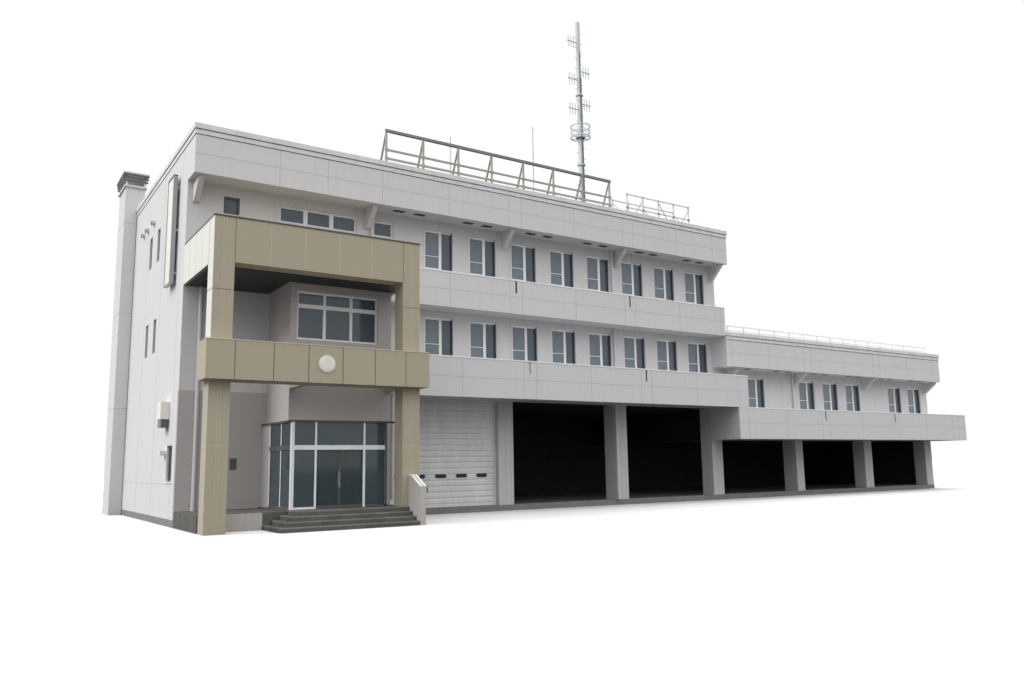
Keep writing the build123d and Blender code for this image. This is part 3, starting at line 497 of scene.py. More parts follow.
# Panes in front of lit blinds look grey-blue, open ones slate.
PANE_PALE = Glazing("float_glass_over_blind", "#717f88", "#636f77", 0.04)
PANE_DARK = Glazing("float_glass_over_dark_room", "#52606c", "#45515c", 0.03)
# The lobby's glass is clear over a dark hall, its leaves let part of it show through.
PANE_DOOR = Glazing("tinted_door_glass", "#4d5f62", "#3f5053", 0.02, clearness=0.55)
PANE_LOBBY = Glazing("clear_lobby_glass", "#425156", "#36444a", 0.02)

SLOT_FINISHES = {"wall_panel": WALL, "portal_panel": PORTAL, "concrete_floor": CONCRETE,
    "roof_membrane": ROOFING, "white_coping": COPING, "stone_paving": STONE,
    "window_frame": WINDOW_WHITE, "window_glass": PANE_DARK, "shutter_steel": SHUTTER,
    "pipe_paint": PIPE, "galvanised_steel": ZINC, "white_sheet": WHITE_SHEET, }
NODE_FINISHES = {"radio_mast": MAST, "antennas": AERIAL, "wing_handrail": WINDOW_WHITE,
    "steps_side_wall": CAST_STONE, "roof_sign_frame": SIGN_STEEL, "bay_columns": COLUMN,
    "vestibule_glass": PANE_LOBBY, "entrance_wall": SHADED_WALL, "entrance_bay_walls": SHADED_WALL,
}


# Meshes and placing


@dataclass(frozen=True)
class Face:
    """Flat face of a wall, with its own across and inward directions.

    Attributes:
        origin: Point on the face that lies at zero across and at level zero.
        across: Direction along the wall.
        inward: Direction from the face into the wall.
    """

    origin: Vector
    across: Vector
    inward: Vector

    def at(self, along: float, depth: float, level: float) -> Vector:
        """Return the point at a distance along, into and up the face."""
        return self.origin + along * self.across + depth * self.inward + Vector((0, 0, level))


def face(side: Side, plane: float) -> Face:
    """Return the wall face of one side.

    Args:
        side: Side of the building that the face looks to.
        plane: Place of the face on the axis that it looks along.

    Returns:
        The face, with its across direction along X or Y.
    """
    inward = 1.0 if side in (Side.FRONT, Side.LEFT) else -1.0
    if side in (Side.FRONT, Side.REAR):
        return Face(Vector((0, plane, 0)), Vector((1, 0, 0)), Vector((0, inward, 0)))
    return Face(Vector((plane, 0, 0)), Vector((0, 1, 0)), Vector((inward, 0, 0)))


class Shape:
    """Mesh under construction, gathered from blocks, bars and swept outlines."""

    def __init__(self) -> None:
        """Start with an empty mesh."""
        self.mesh = bmesh.new()

    def block(self, x: Span, y: Span, z: Span) -> None:
        """Add a block given by its ranges along X, Y and Z."""
        low = Vector([min(span) for span in (x, y, z)])
        high = Vector([max(span) for span in (x, y, z)])
        corners = ((low.x, low.y), (high.x, low.y), (high.x, high.y), (low.x, high.y))
        self.sweep([Vector((a, b, low.z)) for a, b in corners], Vector((0, 0, high.z - low.z)))

    def panel(self, wall: Face, along: Span, depth: Span, level: Span) -> None:
        """Add a block given by its ranges along, into and up a wall face."""
        one, other = (wall.at(along[i], depth[i], level[i]) for i in (0, 1))
        self.block(*zip(one, other))

    def ring(self, wall: Face, along: Span, depth: Span, level: Span, bar: float) -> None:
        """Add a rectangular frame of four bars inside the given outline.

        Args:
            wall: Face that the frame stands on.
            along: Left and right edge of the frame.
            depth: Outer and inner face of the bars, into the wall.
            level: Bottom and top edge of the frame.
            bar: Width of one bar.
        """
        self.panel(wall, (along[0], along[0] + bar), depth, level)
        self.panel(wall, (along[1] - bar, along[1]), depth, level)
        inner = (along[0] + bar, along[1] - bar)
        self.panel(wall, inner, depth, (level[0], level[0] + bar))
        self.panel(wall, inner, depth, (level[1] - bar, level[1]))

    def sweep(self, outline: Sequence[Vector], shift: Vector) -> None:
        """Add a closed outline swept along a straight line."""
        start = [self.mesh.verts.new(p) for p in outline]
        end = [self.mesh.verts.new(p + shift) for p in outline]
        self.mesh.faces.new(start[::-1])
        self.mesh.faces.new(end)
        for i in range(len(outline)):
            self.mesh.faces.new((start[i - 1], start[i], end[i], end[i - 1]))

    def bar(self, start: Vector, end: Vector, radius: float, sides: int = 12) -> None:
        """Add a round bar between two points."""
        axis = (end - start).normalized()
        # Any direction that isn't nearly the bar's own serves to square its outline.
        helper = Vector((0, 0, 1)) if abs(axis.z) < 0.9 else Vector((1, 0, 0))
        first = axis.cross(helper).normalized()
        second = axis.cross(first)
        turn = 2 * math.pi / sides
        outline = [start + radius * (math.cos(i * turn) * first + math.sin(i * turn) * second)
                   for i in range(sides)]
        self.sweep(outline, end - start)

    def hoop(self, centre: Vector, radius: float, wire: float, sides: int = 32) -> None:
        """Add a level hoop of square wire."""
        turn = 2 * math.pi / sides
        half = wire / 2
        rows = []
        for i in range(sides):
            out = Vector((math.cos(i * turn), math.sin(i * turn), 0))
            rows.append([self.mesh.verts.new(centre + out * (radius + a) + Vector((0, 0, b)))
                         for a, b in ((-half, -half), (half, -half), (half, half),
                                      (-half, half))])
        for one, two in zip(rows, rows[1:] + rows[:1]):
            for k in range(4):
                self.mesh.faces.new((one[k - 1], two[k - 1], two[k], one[k]))

    def place(self, name: str, finish: Finish, slot: str, body: Body = Body.BUILDING,
              stands_for: Iterable[str] = (), edge: float = 0.0,
              smooth: bool = False) -> bpy.types.Object:
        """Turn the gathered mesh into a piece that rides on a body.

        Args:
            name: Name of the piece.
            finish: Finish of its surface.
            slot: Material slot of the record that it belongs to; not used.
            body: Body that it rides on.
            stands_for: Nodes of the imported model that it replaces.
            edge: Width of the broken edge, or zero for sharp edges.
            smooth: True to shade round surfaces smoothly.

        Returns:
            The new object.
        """
        bmesh.ops.recalc_face_normals(self.mesh, faces=self.mesh.faces)
        data = bpy.data.meshes.new(name)
        self.mesh.to_mesh(data)
        self.mesh.free()
        data.materials.append(finish.material())
        piece = bpy.data.objects.new(name, data)
        bpy.context.scene.collection.objects.link(piece)
        if smooth:
            data.polygons.foreach_set("use_smooth", [True] * len(data.polygons))
            data.set_sharp_from_angle(angle=SHARP_ANGLE)
        if edge:
            bevel = piece.modifiers.new("broken_edge", "BEVEL")
            bevel.width = edge
            bevel.segments = 1
            bevel.limit_method = "ANGLE"
        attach(piece, body.value)
        if stands_for:
            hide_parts(*stands_for)
        LOG.info("%s: %d faces", name, len(data.polygons))
        return piece


# Shared grid and levels


@dataclass(frozen=True)
class Grid:
    """Column lines, faces and levels that the sub-assemblies share."""

    bay: float = 3.615
    column: float = 0.42
    # Offset of the panel joints about a line, and their margin at a stretch's ends.
    pair: float = 0.18
    joint_margin: float = 0.12
    # Top of the wing's band, whose node also ties it to the band above.
    wing_band: float = 2.55
    # Main block's roof deck, and the floor of the entrance hall and its landing.
    roof: float = 7.24
    hall: float = 0.325

    front: float = field(default_factory=lambda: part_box("front_wall")[0].y)
    rear: float = field(default_factory=lambda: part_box("rear_wall")[1].y)
    left: float = field(default_factory=lambda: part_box("left_wall")[0].x)
    right: float = field(default_factory=lambda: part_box("right_wall")[1].x)
    wing_end: float = field(default_factory=lambda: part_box("wing_end_wall")[1].x)

    def joints(self, start: float, end: float) -> list[float]:
        """Return where the upright panel joints fall between two ends.

        Args:
            start: Lower end of the clad stretch.
            end: Upper end of the clad stretch.

        Returns:
            Places of the joints: a pair at each column line and one at each mid-bay.
        """
        lines = [n * self.bay for n in range(-3, 6)]
        places = [line + shift for line in lines
                  for shift in (-self.pair, self.pair, self.bay / 2)]
        return [x for x in places if start + self.joint_margin < x < end - self.joint_margin]

    def windows(self, numbers: Iterable[int]) -> list[float]:
        """Return the middles of the numbered windows, three to a bay from line zero."""
        return [self.bay / 3 * (n + 0.5) for n in numbers]

    def band_top(self, node: str) -> float:
        """Return the top of a band or fascia, without what ties it to the next."""
        return self.wing_band if node == "wing_band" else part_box(node)[1].z


@dataclass
class Cladding:
    """Sealed joints between the wall, band and fascia panels."""

    grid: Grid

    joint: float = 7 * MM
    proud: float = 1.5 * MM
    # Share of that for level joints, which never lie flush with uprights.
    level_share: float = 0.9

    coping: float = 0.18
    # Side walls: first joint from the front, spacing, and margin at the rear.
    side_start: float = 0.45
    side_pitch: float = 1.8
    side_margin: float = 0.1
    # Round a window: where the joint over it starts above the sill, the gap at a joint's end,
    # and half of the stretch that is kept clear.
    head: float = 0.98
    gap: float = 0.02
    window_half: float = 0.40

    low_course: float = 0.796
    rear_course: float = 2.845

    fascia_joints: tuple[float, ...] = (-5.78, -4.75, -3.5, -1.83, -0.18, 0.18, 1.81,
                                        3.435, 3.795, 5.42, 6.85)
    portal_joints: Span = (-5.71, -4.6)
    # Joints about the column lines at the wide piers.
    pier_joints: Span = (-0.36, 0.22)
    # Joints of a bay column as shares of its width, how many columns from line zero on have
    # them, and where they start.
    column_joints: Span = (0.47, 0.8)
    jointed_columns: int = 3
    column_foot: float = 0.15

    def uprights(self, shape: Shape, wall: Face, places: Iterable[float], level: Span) -> None:
        """Draw upright joints between two levels of a face."""
        half = self.joint / 2
        for x in places:
            shape.panel(wall, (x - half, x + half), (-self.proud, self.proud), level)

    def course(self, shape: Shape, wall: Face, along: Span, middle: float) -> None:
        """Draw one level joint between two ends of a face."""
        half = self.joint / 2
        shape.panel(wall, along, (-self.proud * self.level_share, self.proud),
                    (middle - half, middle + half))

    def over_windows(self, shape: Shape, wall: Face, places: Iterable[float],
                     level: Span, sill: float) -> None:
        """Draw upright joints that stop at the windows on their line.

        Args:
            shape: Mesh that receives the joints.
            wall: Face that the joints lie on.
            places: Places of the joints along the wall.
            level: Bottom and top of the wall between two bands.
            sill: Bottom of the windows.
        """
        for x in places:
            if self.crosses_window(x):
                self.uprights(shape, wall, [x], (level[0], sill - self.gap))
                self.uprights(shape, wall, [x], (sill + self.head, level[1]))
            else:
                self.uprights(shape, wall, [x], level)

    def crosses_window(self, x: float) -> bool:
        """Tell if a place along the front falls inside a window of the regular rows."""
        pitch = self.grid.bay / 3
        return abs((x / pitch) % 1.0 - 0.5) * pitch < self.window_half

    def build(self) -> None:
        """Draw the joints of every clad face."""
        self.bands()
        walls = Shape()
        self.front_walls(walls)
        self.left_corner(walls)
        self.outer_walls(walls)
        self.columns(walls)
        walls.place("wall_joints", SEALANT, "wall_panel")

    def bands(self) -> None:
        """Draw the joints of the fascias, which copings cover, and of the bands."""
        grid = self.grid
        street = Shape()
        for node in ("roof_fascia", "wing_fascia", *BANDS):
            low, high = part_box(node)
            top = grid.band_top(node) - (0.0 if node in BANDS else self.coping)
            own = node == "roof_fascia"
            wall = face(Side.FRONT, low.y)
            self.uprights(street, wall, self.fascia_joints if own
                          else grid.joints(low.x, high.x), (low.z, top))
            self.course(street, wall, (low.x, high.x), (low.z + top) / 2)
        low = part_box("wing_band")[0]
        self.course(street, face(Side.LEFT, low.x), (low.y, grid.front),
                    (low.z + grid.wing_band) / 2)
        street.place("fascia_joints", SEALANT, "wall_panel")

    def front_walls(self, walls: Shape) -> None:
        """Draw the joints between the windows of the street front."""
        grid = self.grid
        wall = face(Side.FRONT, grid.front)
        second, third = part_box("second_floor_band"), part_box("third_floor_band")
        first_pier, third_pier = ([line * grid.bay + shift for shift in self.pier_joints]
                                  for line in (1, 3))
        places = [*grid.windows((-2, 0, 1, 3, 4)), -grid.pair, grid.pair, *first_pier]
        self.over_windows(walls, wall, places, (second[1].z, third[0].z), Windows.second_sill)
        self.over_windows(walls, wall, places, (third[1].z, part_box("roof_fascia")[0].z),
                          Windows.third_sill)
        level = (grid.wing_band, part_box("wing_fascia")[0].z)
        self.over_windows(walls, wall, [*grid.windows((7, 10, 13)), *third_pier], level,
                          Windows.wing_sill)
        self.uprights(walls, wall, grid.windows((8, 12)), level)

    def left_corner(self, walls: Shape) -> None:
        """Draw the joints over the portal and the low course round the left corner."""
        grid = self.grid
        wall = face(Side.FRONT, grid.front)
        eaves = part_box("roof_fascia")[0].z
        whole, short = self.portal_joints
        self.uprights(walls, wall, [whole], (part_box("third_floor_band")[1].z, eaves))
        self.uprights(walls, wall, [short], (Windows.strip_level[1] + self.gap, eaves))
        self.course(walls, wall, (grid.left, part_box("entrance_bay_walls")[0].x),
                    self.low_course)
        self.course(walls, face(Side.LEFT, grid.left), (grid.front, grid.rear),
                    self.low_course)

    def outer_walls(self, walls: Shape) -> None:
        """Draw the joints of the side walls and the rear walls."""
        grid = self.grid
        count = int((grid.rear - grid.front - self.side_start) / self.side_pitch) + 1
        places = [grid.front + self.side_start + i * self.side_pitch for i in range(count)]
        places = [y for y in places if y < grid.rear - self.side_margin]
        for side, plane, node in ((Side.LEFT, grid.left, "left_wall"),
                                  (Side.RIGHT, grid.right, "right_wall"),
                                  (Side.RIGHT, grid.wing_end, "wing_end_wall")):
            low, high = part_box(node)
            self.uprights(walls, face(side, plane), places, (low.z, high.z - self.coping))
        for node in ("rear_wall", "wing_rear_wall"):
            low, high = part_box(node)
            clear = [x for x in grid.joints(low.x, high.x) if not self.crosses_window(x)]
            wall = face(Side.REAR, high.y)
            self.uprights(walls, wall, clear, (low.z, high.z - self.coping))
            self.course(walls, wall, (low.x, high.x), self.rear_course)

    def columns(self, walls: Shape) -> None:
        """Draw the upright joints of the bay columns' casing."""
        grid = self.grid
        level = (self.column_foot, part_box("wing_band")[0].z)
        for line in range(self.jointed_columns):
            left = line * grid.bay - grid.column / 2
            self.uprights(walls, face(Side.FRONT, grid.front),
                          [left + share * grid.column for share in self.column_joints], level)


class WindowRun:
    """Meshes of one run of windows: sections, gaskets, dark right jambs of painted shade and
    two kinds of pane.
    """

    def __init__(self) -> None:
        """Start with empty meshes."""
        self.frames, self.seals, self.painted_shade_jambs = Shape(), Shape(), Shape()
        self.pale, self.dark = Shape(), Shape()

    def place(self, run: str, frames_node: str, glass_node: str) -> None:
        """Turn the meshes into pieces.

        Args:
            run: First word of the pieces' names.
            frames_node: Node that the sections replace.
            glass_node: Node that the panes replace.
        """
        self.frames.place(f"{run}_window_sections", WINDOW_WHITE, "window_frame",
                          stands_for=[frames_node], edge=1.5 * MM)
        self.seals.place(f"{run}_window_gaskets", RUBBER_AND_SHADE, "window_frame")
        # The right jambs are dark grey as painted shade.
        self.painted_shade_jambs.place(f"{run}_window_painted_shade_jambs", WINDOW_DARK, "window_frame")
        self.pale.place(f"{run}_pale_panes", PANE_PALE, "window_glass",
                        stands_for=[glass_node])
        self.dark.place(f"{run}_dark_panes", PANE_DARK, "window_glass")


@dataclass
class Windows:
    """Aluminium windows: outer frames, overlapping sashes, gaskets, sills and panes.

    Depths are counted from the outer face of the window's frame.
    """

    grid: Grid

    width: float = 0.75
    height: float = 0.94
    inset: float = 0.04
    depth: float = 0.06

    bar: float = 0.022
    sash: float = 0.026
    stile: float = 0.066
    shift: float = 0.06
    # Width of the right jamb, drawn dark grey as painted shade.
    jamb: float = 0.012
    # Cross rail of the left sash, its level as a share of the sash, and the back sash's rails.
    rail: float = 0.016
    rail_share: float = 0.34
    back_rail: float = 0.014
    # Depths of the left sash, the right sash and the strip over the middle stiles, and how far
    # that passes them at its left and right.
    front_sash: Span = (0.006, 0.028)
    back_sash: Span = (0.031, 0.053)
    interlock: Span = (0.002, 0.010)
    overlaps: Span = (0.006, 0.004)

    apron: float = 0.012
    nose: float = 0.014
    seat: float = 0.01
    lift: float = 0.008
    # Thickness of a pane, its reach behind the gasket, and the gasket's width and depths about
    # the pane.
    glass: float = 6 * MM
    lip: float = 4 * MM
    gasket: float = 5 * MM
    gasket_depth: Span = (-0.006, -0.0025)

    light_bar: float = 0.03
    bead: float = 0.012
    bead_depth: Span = (0.012, 0.05)
    mullion: float = 0.075
    bay_mullion: float = 0.04

    second_sill: float = 3.52
    third_sill: float = 5.59
    wing_sill: float = 2.605
    # Over the portal: levels, the three-light strip, the single light, and the small window
    # near the left corner.
    strip_level: Span = (6.185, 6.545)
    strip: Span = (-5.59, -3.86)
    single: Span = (-3.46, -2.975)
    corner: Span = (-6.735, -6.415)

    bay_window: Span = (-5.615, -3.935)
    bay_levels: tuple[Span, ...] = ((3.515, 4.18), (4.18, 4.465))
    # Side walls: near edges, width and levels of the narrow windows.
    narrow_starts: Span = (-0.335, 0.565)
    narrow_width: float = 0.3
    narrow_levels: tuple[Span, ...] = ((3.615, 4.37), (5.685, 6.44))

    slot: Span = (-2.59, -2.115)
    slot_level: Span = (0.84, 1.54)

    def behind(self, depths: Span) -> Span:
        """Return depths behind the wall face, from depths behind the frame's."""
        return (self.inset + depths[0], self.inset + depths[1])

    def regular(self, run: WindowRun, wall: Face, middle: float, sill: float) -> None:
        """Add one two-sash window.

        Args:
            run: Meshes that receive it.
            wall: Face of the wall that holds the window.
            middle: Middle of the window along the wall.
            sill: Bottom of the window.
        """
        left, right = middle - self.width / 2, middle + self.width / 2
        top = sill + self.height
        outer = self.behind((0.0, self.depth))
        run.frames.panel(wall, (left, left + self.bar), outer, (sill, top))
        for level in (sill, top - self.bar):
            run.frames.panel(wall, (left + self.bar, right - self.jamb), outer,
                             (level, level + self.bar))
        # The right jamb is dark grey, painted shade on the window's right side.
        run.painted_shade_jambs.panel(wall, (right - self.jamb, right), outer, (sill, top))

        meet = middle + self.shift
        near, far = meet - self.stile / 2, meet + self.stile / 2
        low, high = sill + self.bar, top - self.bar
        front, back = self.behind(self.front_sash), self.behind(self.back_sash)
        run.frames.ring(wall, (left + self.bar, far), front, (low, high), self.sash)
        run.frames.panel(wall, (near, far), back, (low, high))
        for level in (low, high - self.back_rail):
            run.frames.panel(wall, (far, right - self.jamb), back,
                             (level, level + self.back_rail))
        run.frames.panel(wall, (near - self.overlaps[0], far + self.overlaps[1]),
                         self.behind(self.interlock), (low, high))
        level = low + self.rail_share * (high - low)
        left_light = (left + self.bar + self.sash, near)
        run.frames.panel(wall, left_light, front,
                         (level - self.rail / 2, level + self.rail / 2))

        self.glaze(run.seals, run.pale, wall, left_light,
                   (low + self.sash, high - self.sash), sum(front) / 2)
        self.glaze(run.seals, run.dark, wall, (far, right - self.jamb),
                   (low + self.back_rail, high - self.back_rail), sum(back) / 2)
        run.frames.panel(wall, (left - self.apron, right + self.apron),
                         (-self.nose, self.inset + self.seat),
                         (sill - self.apron, sill + self.lift))

    def glaze(self, seals: Shape, panes: Shape, wall: Face, along: Span, level: Span,
              depth: float) -> None:
        """Add one pane with the gasket round it.

        Args:
            seals: Mesh of the gaskets.
            panes: Mesh of the glass.
            wall: Face of the wall that holds the window.
            along: Left and right edge of the visible glass.
            level: Bottom and top edge of the visible glass.
            depth: Middle of the pane behind the wall face.
        """
        half, lip = self.glass / 2, self.lip
        panes.panel(wall, (along[0] - lip, along[1] + lip), (depth - half, depth + half),
                    (level[0] - lip, level[1] + lip))
        outer, inner = self.gasket_depth
        seals.ring(wall, along, (depth + outer, depth + inner), level, self.gasket)

    def lights(self, frames: Shape, run: WindowRun, wall: Face, along: Span, level: Span,
               count: int = 1, mullion: float = 0.0) -> None:
        """Add one window of equal fixed lights.

        Args:
            frames: Mesh of the sections.
            run: Meshes that receive the gaskets and the panes.
            wall: Face of the wall that holds the window.
            along: Left and right edge of the opening.
            level: Bottom and top edge of the opening.
            count: Number of lights side by side.
            mullion: Width of the bars between them.
        """
        bar, bead = self.light_bar, self.bead
        depth = self.behind((0.0, self.depth))
        low, high = level[0] + bar, level[1] - bar
        frames.ring(wall, along, depth, level, bar)
        pitch = (along[1] - along[0] - 2 * bar + mullion) / count
        for i in range(count):
            start = along[0] + bar + i * pitch
            end = start + pitch - mullion
            if i + 1 < count:
                frames.panel(wall, (end, end + mullion), depth, (low, high))
            frames.ring(wall, (start, end), self.behind(self.bead_depth), (low, high), bead)
            self.glaze(run.seals, run.dark, wall, (start + bead, end - bead),
                       (low + bead, high - bead), sum(depth) / 2)

    def build(self) -> None:
        """Add the windows of every wall."""
        grid = self.grid
        front, rear = face(Side.FRONT, grid.front), face(Side.REAR, grid.rear)
        main, wing, narrow = WindowRun(), WindowRun(), Shape()
        for run, wall, numbers, sill in (
                (main, front, range(-2, 6), self.second_sill),
                (main, rear, range(-6, 6), self.second_sill),
                (main, front, range(-2, 6), self.third_sill),
                (main, rear, range(-6, 6), self.third_sill),
                (wing, front, (7, 9, 10, 11, 13, 14), self.wing_sill),
                (wing, rear, range(7, 15), self.wing_sill)):
            for x in grid.windows(numbers):
                self.regular(run, wall, x, sill)

        self.lights(main.frames, main, front, self.strip, self.strip_level, 3, self.mullion)
        self.lights(main.frames, main, front, self.single, self.strip_level)
        bay = face(Side.FRONT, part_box("entrance_bay_walls")[0].y)
        for level in self.bay_levels:
            self.lights(main.frames, main, bay, self.bay_window, level, 3, self.bay_mullion)

        self.lights(narrow, main, front, self.corner, self.strip_level)
        left, right = face(Side.LEFT, grid.left), face(Side.RIGHT, grid.right)
        second, third = self.narrow_levels
        for start in self.narrow_starts:
            for wall, level in ((left, second), (left, third), (right, third)):
                self.lights(narrow, main, wall, (start, start + self.narrow_width), level)
        self.lights(narrow, main, left, self.slot, self.slot_level)
        narrow.place("narrow_window_sections", WINDOW_DARK, "window_frame", edge=1.5 * MM)
        main.place("main", "main_window_frames", "window_glass")
        wing.place("wing", "wing_window_frames", "wing_window_glass")


@dataclass
class Copings:
    """Lines, butt covers and edge trims of the copings and band tops."""

    grid: Grid
    # How far each lip over a dark line of painted shadow stands out and hangs down, how far
    # the line stands off its face, and its height.
    painted_shadow_lines: tuple[Span, ...] = ((0.012, 0.075), (0.0, 0.18))
    stand: float = 2 * MM
    line: float = 0.016

    cover_pitch: float = 1.8075
    cover: float = 0.05
    cover_margin: float = 0.2
    cover_out: float = 0.033
    cover_rise: float = 0.033

    skirt: float = 0.075

    rim: float = 0.022
    rim_width: float = 0.05
    rim_out: float = 0.008
    rim_rise: float = 0.006
    # Overflow slots: width, depths behind the band's face, distance of their bottom below its
    # top, and column lines by band.
    slot: float = 0.048
    slot_depth: Span = (0.012, 0.039)
    slot_height: float = 0.345
    slot_lines: tuple[tuple[int, ...], ...] = ((1,), (0, 1), (3, 4))

    vent: Span = (0.28, 0.14)
    vent_shift: float = 0.26
    vent_bays: tuple[tuple[str, int, int], ...] = (("roof_fascia", -2, 3),
                                                   ("wing_fascia", 4, 9))
    # Slots of a vent, black as painted shade inside: number, size and spacing, and how far the
    # vent's frame and the slots hang down.
    slats: int = 5
    slat: Span = (0.25, 0.01)
    slat_pitch: float = 0.025
    vent_drop: float = 4 * MM
    slat_drop: Span = (3 * MM, 7 * MM)

    def build(self) -> None:
        """Add the painted shadow lines, the butt covers, the white trims, the slots and the
        vents.
        """
        self.dark_lines()
        self.butt_covers()
        self.band_trims()
        self.scuppers()
        self.eaves_vents()

    def dark_lines(self) -> None:
        """Add the dark lines under the copings' lips, painted shadow of the lips."""
        grid = self.grid
        wing_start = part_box("wing_fascia")[0].x
        lines = Shape()
        for node, start, end, sides in (
                ("roof_fascia", grid.left, grid.right, (Side.RIGHT, Side.LEFT)),
                ("wing_fascia", wing_start, grid.wing_end, (Side.RIGHT,))):
            low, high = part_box(node)
            for lip, drop in self.painted_shadow_lines:
                skin = (-lip - self.stand, 0.0)
                level = (high.z - drop - self.line, high.z - drop)
                lines.panel(face(Side.FRONT, low.y), (start - lip, end + lip), skin, level)
                for side in sides:
                    lines.panel(face(side, end if side is Side.RIGHT else start),
                                (low.y - lip, grid.rear), skin, level)
        lines.place("coping_painted_shadow_lines", GREY_TRIM_AND_SHADOW, "white_coping")

    def butt_covers(self) -> None:
        """Add the strips over the butts of the copings along the street."""
        grid = self.grid
        half = self.cover / 2
        covers = Shape()
        for node, start, end in (("roof_fascia", grid.left, grid.right),
                                 ("wing_fascia", grid.right, grid.wing_end)):
            low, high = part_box(node)
            for i in range(1, int((end - start) / self.cover_pitch) + 1):
                x = start + i * self.cover_pitch
                if x > end - self.cover_margin:
                    continue
                covers.block((x - half, x + half),
                             (low.y - self.cover_out, low.y + self.skirt),
                             (high.z - self.skirt, high.z + self.cover_rise))
        covers.place("coping_butt_covers", COPING, "white_coping", edge=1 * MM)

    def band_trims(self) -> None:
        """Add the white trims on the top edges of the bands."""
        trims = Shape()
        for node in BANDS:
            low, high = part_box(node)
            start = self.grid.right if node == "wing_band" else low.x
            top = self.grid.band_top(node)
            level = (top - self.rim, top + self.rim_rise)
            end = high.x + self.rim_out
            trims.block((start, end), (low.y - self.rim_out, low.y + self.rim_width), level)
            trims.block((high.x - self.rim_width, end), (low.y, self.grid.front), level)
        trims.place("band_top_trims", WINDOW_WHITE, "white_coping", edge=1 * MM)

    def scuppers(self) -> None:
        """Fill the overflow slots in the bands with black, painted shade inside them."""
        slots = Shape()
        outer, inner = self.slot_depth
        for node, lines in zip(BANDS, self.slot_lines):
            front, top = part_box(node)[0].y, self.grid.band_top(node)
            for x in [line * self.grid.bay for line in lines]:
                slots.block((x - self.slot / 2, x + self.slot / 2),
                            (front + outer, front + inner),
                            (top - self.slot_height, top - self.rim))
        slots.place("scupper_slots_painted_shade", RUBBER_AND_SHADE, "white_coping")

    def eaves_vents(self) -> None:
        """Add the louvred vents in the soffits under the roof eaves, in pairs."""
        blades, rims = Shape(), Shape()
        length, width = (size / 2 for size in self.vent)
        slat_length, slat_width = (size / 2 for size in self.slat)
        for node, first, last in self.vent_bays:
            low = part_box(node)[0]
            middle = (low.y + self.grid.front) / 2
            pairs = [(k + 0.5) * self.grid.bay / 2 for k in range(first, last + 1)]
            shifts = (-self.vent_shift, self.vent_shift)
            for x in [pair + shift for pair in pairs for shift in shifts]:
                rims.block((x - length, x + length), (middle - width, middle + width),
                           (low.z - self.vent_drop, low.z))
                for k in range(self.slats):
                    y = middle + (k - (self.slats - 1) / 2) * self.slat_pitch
                    blades.block((x - slat_length, x + slat_length),
                                 (y - slat_width, y + slat_width),
                                 (low.z - self.slat_drop[1], low.z - self.slat_drop[0]))
        rims.place("eaves_vent_frames", GREY_TRIM_AND_SHADOW, "white_coping", edge=1 * MM)
        # The vent slots are black, painted shade inside the openings.
        blades.place("eaves_vent_slots_painted_shade", RUBBER_AND_SHADE, "white_coping")


